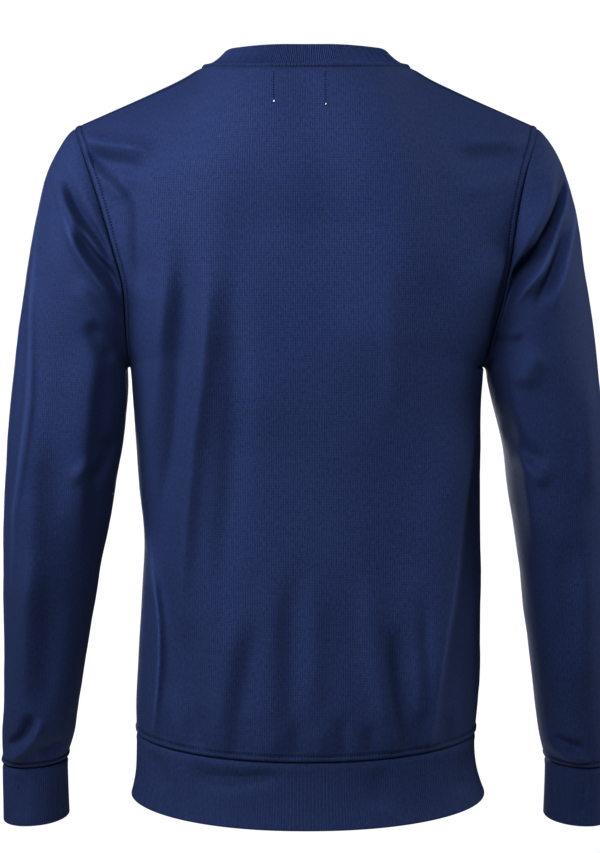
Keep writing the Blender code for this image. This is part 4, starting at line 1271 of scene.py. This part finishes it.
def knit_height(u, v):
    """Height of a plain knit: rounded wales with V-shaped stitches."""
    turns = u * (1.0 / WALE)
    wale = turns.sum("ABSOLUTE", turns.sum("FRACT", turns, 0.0) - 0.5)
    lean = v * (1.0 / COURSE) + wale * STITCH_LEAN
    stitch = lean.sum("SINE", lean * (2 * math.pi)) * 0.5 + 0.5
    return (1.0 - wale * wale * 4.0) * WALE_SHARE + stitch * STITCH_SHARE


def needle_dimples(finish):
    """Where the stitches draw the cloth in along their rows."""
    row = finish.attribute("needle_row")
    run = finish.attribute("seam_run")
    swing = run.sum("COSINE", run * (2 * math.pi / NEEDLE_PITCH))
    return row * (swing * 0.5 + 0.5)


print("stitches to a metre of cloth:", round(1.0 / COURSE), "up by", round(1.0 / WALE), "across")

# %% The navy of the cloth, and the marks on it
SHADOW_NAVY = (0.0010, 0.0015, 0.0040, 1.0)
KNIT_SHEEN = 0.05
STREAK_SCALE = 700.0
STREAK_STRETCH = 0.30
FLECK_SCALE = 380.0
PATCH_SCALE = 45.0
CLOUD_SCALE = 14.0
FLECK_SHARE = 0.8
CLOUD_TONE = 0.20
LINE_SHARE = 0.38
COURSE_LINE = 0.002350
DIMPLE_PAINTED_SHADE = 0.92
PAINTED_HIGHLIGHT_STRENGTH = 0.9
STREAK_HEIGHT = 0.00012
DIMPLE_DEPTH = 0.0004


def knit_finish(name, navy, mottle, line_pitch, knit_depth, roughness):
    """A knit cloth in one navy, uneven as dyed yarn is, with fine upright lines."""
    finish = Finish(name, roughness, KNIT_SHEEN)
    uv = finish.add("ShaderNodeUVMap", {}, {}).outputs[0]
    apart = finish.add("ShaderNodeSeparateXYZ", {}, {0: uv})
    u, v = Reading(finish, apart.outputs[0]), Reading(finish, apart.outputs[1])
    streaks = finish.noise(finish.stretched(uv, 1.0, STREAK_STRETCH), STREAK_SCALE)
    flecks, patches, clouds = (finish.noise(uv, scale) for scale in (FLECK_SCALE, PATCH_SCALE, CLOUD_SCALE))
    lines = u.sum("COSINE", u * (2 * math.pi / line_pitch)) * patches
    courses = v.sum("COSINE", v * (2 * math.pi / COURSE_LINE)) * (1.0 - patches)
    shade = (streaks - 0.5) * mottle + (flecks - 0.5) * (mottle * FLECK_SHARE) + (clouds - 0.5) * CLOUD_TONE
    shade = shade + (lines + courses * 0.5) * (mottle * LINE_SHARE) + 1.0
    dimples = needle_dimples(finish)
    # Painted highlight: the cloth's colour is paled along fold ridges, where their crests catch the light.
    painted_highlight = finish.attribute("painted_highlight") * PAINTED_HIGHLIGHT_STRENGTH + 1.0
    # Painted shade: the colour is darkened toward the shadow navy in the needle holes.
    shade = shade * (1.0 - dimples * DIMPLE_PAINTED_SHADE) * painted_highlight
    tones = {"Factor": shade * 0.5, "A": SHADOW_NAVY, "B": navy}
    dyed = finish.add("ShaderNodeMix", {"data_type": "RGBA"}, tones)
    finish.tree.links.new(dyed.outputs[2], finish.shader.inputs["Base Color"])
    height = knit_height(u, v) * knit_depth + streaks * STREAK_HEIGHT - dimples * DIMPLE_DEPTH
    bump = finish.add("ShaderNodeBump", {}, {"Strength": 1.0, "Distance": 1.0, "Height": height})
    finish.tree.links.new(bump.outputs[0], finish.shader.inputs["Normal"])
    return finish.material


jersey = knit_finish(
    "navy_jersey", navy=(0.0320, 0.0530, 0.1450, 1.0), mottle=0.90,
    line_pitch=0.002150, knit_depth=0.00010, roughness=0.76,
)
rib = knit_finish(
    "navy_rib", navy=(0.0350, 0.0570, 0.1520, 1.0), mottle=0.80,
    line_pitch=0.002187, knit_depth=0.00006, roughness=0.76,
)
print("materials:", jersey.name, rib.name)


# %% Sewing thread, navy and pale
def thread_finish(name, colour, roughness, sheen, gloss):
    """Spun thread in one colour."""
    finish = Finish(name, roughness, sheen)
    finish.shader.inputs["Base Color"].default_value = colour
    finish.shader.inputs["Specular IOR Level"].default_value = gloss
    return finish.material


thread = thread_finish("navy_thread", (0.0040, 0.0065, 0.0190, 1.0), 0.8, 0.0, 0.05)
pale_thread = thread_finish("pale_thread", (0.75, 0.78, 0.82, 1.0), 0.6, 0.05, GLOSS)
print("threads:", thread.name, pale_thread.name)

# %% [markdown]
# ## The pieces of jersey
# The panels and sleeves are made now. Each one takes the place of its solid and gives
# the size of its cut.

# %% Back, front and sleeves
JERSEY_WALL = 0.0018


def declare(sheet, node, fine):
    """Put a piece of cloth under the root in place of its solid, and print its cut's size."""
    width, length, area = cut_size(fine)
    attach(sheet, "root")
    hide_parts(node)
    print(node, "cut", round(width, 3), "by", round(length, 3), "m, faces", len(sheet.data.polygons))


PANEL_EDGES = ("bottom", "top", "first", "last")
TUBE_EDGES = ("bottom", "top")

surfaces = {}
for node, fine, points, holes, painted_highlight, edges in (
    ("back", back_fine, back_cloth_points, back_holes, BACK_PAINTED_HIGHLIGHTS, PANEL_EDGES),
    ("front", front_fine, front_cloth_points, front_holes, (), PANEL_EDGES),
    ("left_sleeve", left_fine, left_cloth_points, left_holes, LEFT_PAINTED_HIGHLIGHTS, TUBE_EDGES),
    ("right_sleeve", right_fine, right_cloth_points, right_holes, RIGHT_PAINTED_HIGHLIGHTS, TUBE_EDGES),
):
    # The painted highlight along fold ridges is laid only on the side that faces behind.
    behind = smooth_step(cloth_normals(fine, edges == TUBE_EDGES)[..., 1], 0.0, SIDE_FADE)
    layers = {
        "needle_row": holes,
        "seam_run": run_beside(fine, edges),
        "painted_highlight": crease_lift(fine, painted_highlight) * behind,
    }
    sheet = cloth_sheet(node + "_cloth", points, flat_cut(fine), layers, jersey)
    give_wall(sheet, JERSEY_WALL)
    declare(sheet, node, fine)
    surfaces[node] = points

# %% [markdown]
# ## The ribbed bands
# Neckband, hem band and cuffs are each a strip of rib, closed to a ring, folded double
# and sewn on by both raw edges. So each is made as one loop in section: up its outer
# side, round the fold, and down its inner side. The ribs are real ridges here, because
# on the neckband they catch the light one by one.

# %% Creases of the bands
HEM_BAND_CREASES = (
    (((0.112, -0.642), (0.092, -0.6515), (0.066, -0.6520), (0.040, -0.6485), (0.014, -0.646)),
     0.0070, -0.0024, 0.0),
    (((0.145, -0.634), (0.137, -0.650), (0.131, -0.670)), 0.0080, -0.0024, 0.0),
    (((-0.153, -0.636), (-0.149, -0.654), (-0.144, -0.676)), 0.0090, -0.0026, 0.0),
    (((-0.060, -0.640), (-0.066, -0.656), (-0.064, -0.680)), 0.0110, -0.0014, 0.0),
)
CUFF_CREASES = (
    (((0.238, -0.660), (0.238, -0.690), (0.239, -0.730)), 0.0013, -0.0012, 0.0),
    (((0.274, -0.672), (0.275, -0.699), (0.275, -0.722)), 0.0090, -0.0018, 0.0),
    (((-0.234, -0.664), (-0.236, -0.690), (-0.239, -0.728)), 0.0030, 0.0012, 0.0),
    (((-0.241, -0.662), (-0.242, -0.690), (-0.244, -0.728)), 0.0014, -0.0012, 0.0),
    (((-0.266, -0.672), (-0.264, -0.700), (-0.266, -0.720)), 0.0090, -0.0018, 0.0),
)
print(len(HEM_BAND_CREASES), "creases on the hem band,", len(CUFF_CREASES), "on the cuffs")

# %% A folded band
BAND_WALL = 0.0030
FOLD_STEPS = 5
RIB_START = (0.0005, 0.0030)
BAND_WAVE_SHARE = 0.6


def fold_round(start, end, outward):
    """Rows of points round a fold, from one side of the band to the other."""
    middle = (start + end) / 2
    rows = []
    for turn in np.linspace(0.0, math.pi, FOLD_STEPS + 2)[1:-1]:
        rows.append(middle + (start - middle) * math.cos(turn) + outward * (BAND_WALL / 2) * math.sin(turn))
    return rows


def band_loop(
    rings, step, rib_count, rib_columns, rib_depth, roll, fold_at_top, stitches, creases, seed,
):
    """A band's whole section as a grid of points that closes both ways."""
    fine = fine_tube(rings, step, rib_count * rib_columns, not fold_at_top, fold_at_top)
    seam_edge, free_edge = ("bottom", "top") if fold_at_top else ("top", "bottom")
    from_seam = distance_from(fine, seam_edge)
    keep = distance_from(fine, free_edge).mean(axis=1) > BAND_WALL / 2
    normals = cloth_normals(fine, True)
    turns = np.linspace(0.0, 2 * math.pi * rib_count, fine.shape[1])
    ribs = rib_depth * np.cos(turns)[None, :] * smooth_step(from_seam, *RIB_START)
    folds = crease_lift(fine, creases) * np.clip(normals[..., 1], 0.0, 1.0)
    folds += WAVE_HEIGHT * BAND_WAVE_SHARE * waves(fine, seed, WAVE_SIZE)
    lift = ribs + profile(from_seam, roll) + folds * smooth_step(from_seam, *CREASE_CALM)
    outer = (fine + normals * lift[..., None])[keep]
    inner = (fine - normals * (BAND_WALL + ribs)[..., None])[keep][::-2]
    flat = flat_cut(fine)[keep]
    up = outer[-1] - outer[-2] if fold_at_top else outer[0] - outer[1]
    up /= np.linalg.norm(up, axis=-1, keepdims=True)
    if fold_at_top:
        loop = [*outer, *fold_round(outer[-1], inner[0], up), *inner, outer[0]]
    else:
        loop = [*outer, *inner, *fold_round(inner[-1], outer[0], up), outer[0]]
    loop = np.array(loop)
    across = np.broadcast_to(flat[len(flat) // 2, :, 0], loop.shape[:2])
    height = np.broadcast_to(distances(loop[:, 0])[:, None], loop.shape[:2])
    holes = np.zeros(loop.shape[:2])
    holes[:len(outer)] = needles(from_seam[keep], stitches)
    return loop, np.stack([across, height], axis=-1), holes, outer, fine


print("rows round a fold:", FOLD_STEPS)

# %% Neckband, hem band and cuffs
BAND_NAMES = (
    "rings", "step", "rib_count", "rib_columns", "rib_depth", "roll", "fold_at_top",
    "stitches", "creases", "seed",
)
BANDS = (
    ("neckband", neckband_rings, 0.0018, 268, 6, 0.00046, NECK_ROLL, True, NECK_STITCHES, (), 51),
    ("hem_band", hem_rings, 0.0040, 416, 4, 0.00022, BAND_HEAD, False, (), HEM_BAND_CREASES, 57),
    ("left_cuff", left_cuff_rings, 0.0036, 104, 4, 0.00020, BAND_HEAD, False, (), CUFF_CREASES, 61),
    ("right_cuff", right_cuff_rings, 0.0036, 104, 4, 0.00020, BAND_HEAD, False, (), CUFF_CREASES, 67),
)
for node, *values in BANDS:
    loop, flat, holes, outer, fine = band_loop(**dict(zip(BAND_NAMES, values)))
    sheet = cloth_sheet(node + "_cloth", loop, flat, {"needle_row": holes, "seam_run": flat[..., 0]}, rib)
    declare(sheet, node, fine)
    surfaces[node] = outer

# %% [markdown]
# ## Stitches
# The thread lies on the cloth as short dashes that dive into needle holes. One stitch
# is modelled from a small sphere drawn out long, and set down again and again along
# each row, midway between two needle holes. A dashed bump would be cheaper, but thread
# of its own can be darker and duller than the knit, and it still shows from the side.

# %% One stitch
STITCH_LENGTH = 0.0021
STITCH_THICKNESS = 0.00048
STITCH_RISE = 0.00006

bpy.ops.mesh.primitive_uv_sphere_add(segments=6, ring_count=4, radius=0.5, location=(0.0, 0.0, 0.0))
pattern = bpy.context.object
pattern.name = "stitch_pattern"
bpy.ops.object.mode_set(mode="EDIT")
bpy.ops.mesh.select_all(action="SELECT")
bpy.ops.transform.resize(value=(STITCH_THICKNESS, STITCH_THICKNESS, STITCH_LENGTH))
bpy.ops.object.mode_set(mode="OBJECT")
stitch_points = np.array([tuple(vertex.co) for vertex in pattern.data.vertices])
stitch_faces = [tuple(face.vertices) for face in pattern.data.polygons]
bpy.data.objects.remove(pattern)
print("a stitch has", len(stitch_faces), "faces")


# %% Rows of stitches on the cloth
def place_on(table, run, station):
    """A row of places or directions read at one distance along it."""
    return np.array([np.interp(station, run, table[:, axis]) for axis in range(3)])


def stitch_row(points, closed, edge, distance, lines=slice(None)):
    """Places along the cloth at a distance from an edge, with the cloth's
    normals there and how far along the edge each place lies."""
    rows = turned(points, edge)
    normals = turned(cloth_normals(points, closed), edge)
    away = turned(distance_from(points, edge), edge)
    run = distances(rows[0])
    chosen = np.arange(len(run))[lines]
    places = np.array([place_on(rows[:, line], away[:, line], distance) for line in chosen])
    facing = np.array([place_on(normals[:, line], away[:, line], distance) for line in chosen])
    return places, facing, run[chosen]


print("halfway along a metre:", place_on(np.array([[0.0] * 3, [1.0] * 3]), [0.0, 1.0], 0.5))


# %% Thread along rows of stitches
def sew(name, rows, finish, pitch=NEEDLE_PITCH, size=(1.0, 1.0, 1.0), crosswise=False):
    """Stitches along rows of places, or across them, joined to one piece of thread."""
    points, faces = [], []
    for places, facing, run in rows:
        stations = np.arange(math.ceil(run[0] / pitch) + 0.5, run[-1] / pitch - 0.5) * pitch
        for station in stations:
            centre = place_on(places, run, station)
            normal = place_on(facing, run, station)
            ahead = place_on(places, run, station + pitch / 4) - centre
            if crosswise:
                ahead = np.cross(normal, ahead)
            ahead /= np.linalg.norm(ahead)
            side = np.cross(normal, ahead)
            side /= np.linalg.norm(side)
            turn = np.stack([side, np.cross(ahead, side), ahead])
            start = len(points) * len(stitch_points)
            points.append((stitch_points * size) @ turn + centre + normal * STITCH_RISE)
            faces += [tuple(corner + start for corner in face) for face in stitch_faces]
    mesh = bpy.data.meshes.new(name)
    mesh.from_pydata(np.concatenate(points).tolist(), [], faces)
    mesh.shade_smooth()
    mesh.materials.append(finish)
    piece = bpy.data.objects.new(name, mesh)
    bpy.context.scene.collection.objects.link(piece)
    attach(piece, "root")
    print(name, "has", len(points), "stitches")


# %% Armholes, shoulders and hem
ARMHOLE_STITCH_START = SIDE_STEPS + 0.3

armhole_rows, shoulder_rows, hem_rows = [], [], []
for node, rows, columns in (("back", back_rows, back_columns), ("front", front_rows, front_columns)):
    above = rows >= ARMHOLE_STITCH_START
    for edge in ("first", "last"):
        armhole_rows.append(stitch_row(surfaces[node], False, edge, ARMHOLE_STITCHES[0], above))
    for distance in HEM_STITCHES:
        hem_rows.append(stitch_row(surfaces[node], False, "bottom", distance))
    for outside in (columns < SHOULDER_STEPS, columns > SHOULDER_STEPS + 2 * HALF_NECK_STEPS):
        if node == "back":
            shoulder_rows.append(stitch_row(surfaces[node], False, "top", SHOULDER_STITCHES[0], outside))
sew("armhole_stitches", armhole_rows, thread)
sew("shoulder_stitches", shoulder_rows, thread)
sew("hem_stitches", hem_rows, thread)

# %% Cuffs and neckband
cuff_rows = []
for node in ("left_sleeve", "right_sleeve"):
    for distance in HEM_STITCHES:
        cuff_rows.append(stitch_row(surfaces[node], True, "bottom", distance))
sew("cuff_stitches", cuff_rows, thread)
sew("neck_stitches", [stitch_row(surfaces["neckband"], True, "bottom", NECK_STITCHES[0])], thread)

# %% [markdown]
# ## Two short rows below the neck
# On the real garment these rows hold a label on the inside, and a pale thread end shows
# below each. No label is made, since none can be seen. The cloth is curved and creased
# there, so its place could be worked out from the tables again, but a ray sent at it
# from behind finds the same place in one line. These stitches lie across their row.

# %% Rows that hold a label inside, and their thread ends
LABEL_NAMES = ("side", "top", "bottom")
LABEL_ROWS = ((0.029, -0.0135, -0.0405), (-0.017, -0.0135, -0.0430))
LABEL_PITCH = 0.0023
LABEL_STITCH = (2.2, 1.4, 0.95)
THREAD_END_DROP = 0.0012
THREAD_END_STEPS = np.array([-0.0012, 0.0, 0.0012])
THREAD_END_SHIFT = 0.0006
THREAD_END_SLANT = 0.4
THREAD_END_PITCH = 0.0030
THREAD_END = (2.6, 3.0, 1.10)
THREAD_HOLE_SHADE = (5.4, 1.2, 1.9)
BEHIND = 0.30
back_cloth = bpy.data.objects["back_cloth"]


def row_on_back(sideways, heights, run):
    """Places on the back's outer side as seen from behind, their normals and run."""
    found = [
        back_cloth.ray_cast(Vector((x, BEHIND, z)), Vector((0.0, -1.0, 0.0)))
        for x, z in zip(sideways, heights)
    ]
    return np.array([hit[1] for hit in found]), np.array([hit[2] for hit in found]), run


label_rows, end_rows = [], []
for row in LABEL_ROWS:
    label = dict(zip(LABEL_NAMES, row))
    heights = np.arange(label["top"], label["bottom"], -LABEL_PITCH / 2)
    sideways = np.full(len(heights), label["side"])
    label_rows.append(row_on_back(sideways, heights, label["top"] - heights))
    heights = label["bottom"] - THREAD_END_DROP - THREAD_END_STEPS
    sideways = label["side"] - THREAD_END_SHIFT + THREAD_END_SLANT * (label["bottom"] - heights)
    end_rows.append(row_on_back(sideways, heights, THREAD_END_PITCH * np.arange(3)))
sew("label_stitches", label_rows, thread, LABEL_PITCH, LABEL_STITCH, True)
# Painted shade: a flat disc of dark thread round each thread end stands in for the shaded hole it comes out
# of.
sew("thread_hole_shade", end_rows, thread, THREAD_END_PITCH, THREAD_HOLE_SHADE)
sew("thread_ends", end_rows, pale_thread, THREAD_END_PITCH, THREAD_END)

# %% [markdown]
# ## The studio
# The photograph is a studio shot, brightest on the left of the picture, on a background
# lit to pure white. One large lamp would light it well enough, but its folds then come
# out too hard or too flat, so seven soft round ones share the work. Three stand on the
# left, one hangs near the camera, two graze the right from the side, and one on the far
# side shows the front. The cove glows by itself and lights nothing, so nearly all the
# light on the cloth comes from the lamps.

# %% White cove and pale floor
COVE_RADIUS = 7.0
FLOOR_HEIGHT = -1.45
FLOOR_RADIUS = 1.6
FLOOR_THICKNESS = 0.02
FLOOR_COLOUR = (0.82, 0.82, 0.82, 1.0)
FLOOR_ROUGHNESS = 0.6

bpy.ops.mesh.primitive_uv_sphere_add(segments=48, ring_count=24, radius=COVE_RADIUS, location=(0.0, 0.0, 0.0))
cove = bpy.context.object
cove.name = "white_cove"
glow = bpy.data.materials.new("cove_white")
glow.use_nodes = True
glow_shader = glow.node_tree.nodes["Principled BSDF"]
glow_shader.inputs["Base Color"].default_value = (0.0, 0.0, 0.0, 1.0)
glow_shader.inputs["Emission Color"].default_value = (1.0, 1.0, 1.0, 1.0)
glow_shader.inputs["Emission Strength"].default_value = 1.0
cove.data.materials.append(glow)
cove.visible_diffuse = False
cove.visible_glossy = False
cove.visible_shadow = False
cove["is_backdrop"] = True

bpy.ops.mesh.primitive_cylinder_add(
    vertices=64, radius=FLOOR_RADIUS, depth=FLOOR_THICKNESS,
    location=(0.0, 0.0, FLOOR_HEIGHT - FLOOR_THICKNESS / 2),
)
floor = bpy.context.object
floor.name = "pale_floor"
pale = bpy.data.materials.new("pale_floor")
pale.use_nodes = True
pale.node_tree.nodes["Principled BSDF"].inputs["Base Color"].default_value = FLOOR_COLOUR
pale.node_tree.nodes["Principled BSDF"].inputs["Roughness"].default_value = FLOOR_ROUGHNESS
floor.data.materials.append(pale)
floor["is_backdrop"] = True
print("cove and floor", COVE_RADIUS, FLOOR_RADIUS)

# %% Lamps
LAMP_NAMES = ("name", "place", "aim", "size", "power")
LAMPS = (
    ("key", (0.966, 0.451, 0.281), (0.0, 0.0, -0.15), 0.5, 13.0),
    ("second", (0.685, 0.817, 0.281), (0.0, 0.0, -0.15), 0.5, 4.5),
    ("left_front", (1.330, 1.899, 0.271), (0.0, 0.0, -0.35), 1.2, 12.0),
    ("camera_side", (0.080, 1.250, 0.420), (-0.05, 0.0, -0.34), 0.6, 20.0),
    ("far_side", (0.500, -2.200, -0.300), (0.0, 0.0, -0.35), 1.2, 60.0),
    ("right_far", (-2.310, -0.200, 0.271), (0.0, 0.0, -0.35), 1.2, 34.0),
    ("right", (-1.060, -0.090, 0.281), (0.0, 0.0, -0.15), 0.5, 4.0),
)
for row in LAMPS:
    lamp = dict(zip(LAMP_NAMES, row))
    bpy.ops.object.light_add(type="AREA", location=lamp["place"])
    light = bpy.context.object
    light.name = lamp["name"] + "_light"
    light.data.shape = "DISK"
    light.data.size = lamp["size"]
    light.data.energy = lamp["power"]
    aim = Vector(lamp["aim"]) - Vector(lamp["place"])
    light.rotation_euler = aim.to_track_quat("-Z", "Y").to_euler()
print("lamps", [row[0] for row in LAMPS])

# %% A trace of light from all round, and the picture's contrast
AIR_LIGHT = 0.02
PICTURE_GAMMA = 0.8

world = bpy.data.worlds.new("studio_air")
world.use_nodes = True
world.node_tree.nodes["Background"].inputs["Color"].default_value = (1.0, 1.0, 1.0, 1.0)
world.node_tree.nodes["Background"].inputs["Strength"].default_value = AIR_LIGHT
bpy.context.scene.world = world
bpy.context.scene.view_settings.view_transform = "Standard"
bpy.context.scene.view_settings.gamma = PICTURE_GAMMA
print("light from all round", AIR_LIGHT)

# %% Sizes, and the end
look_low, look_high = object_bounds()
growth = (look_high - look_low) - (cad_high - cad_low)
print("visual model grows by", [round(float(value), 4) for value in growth])
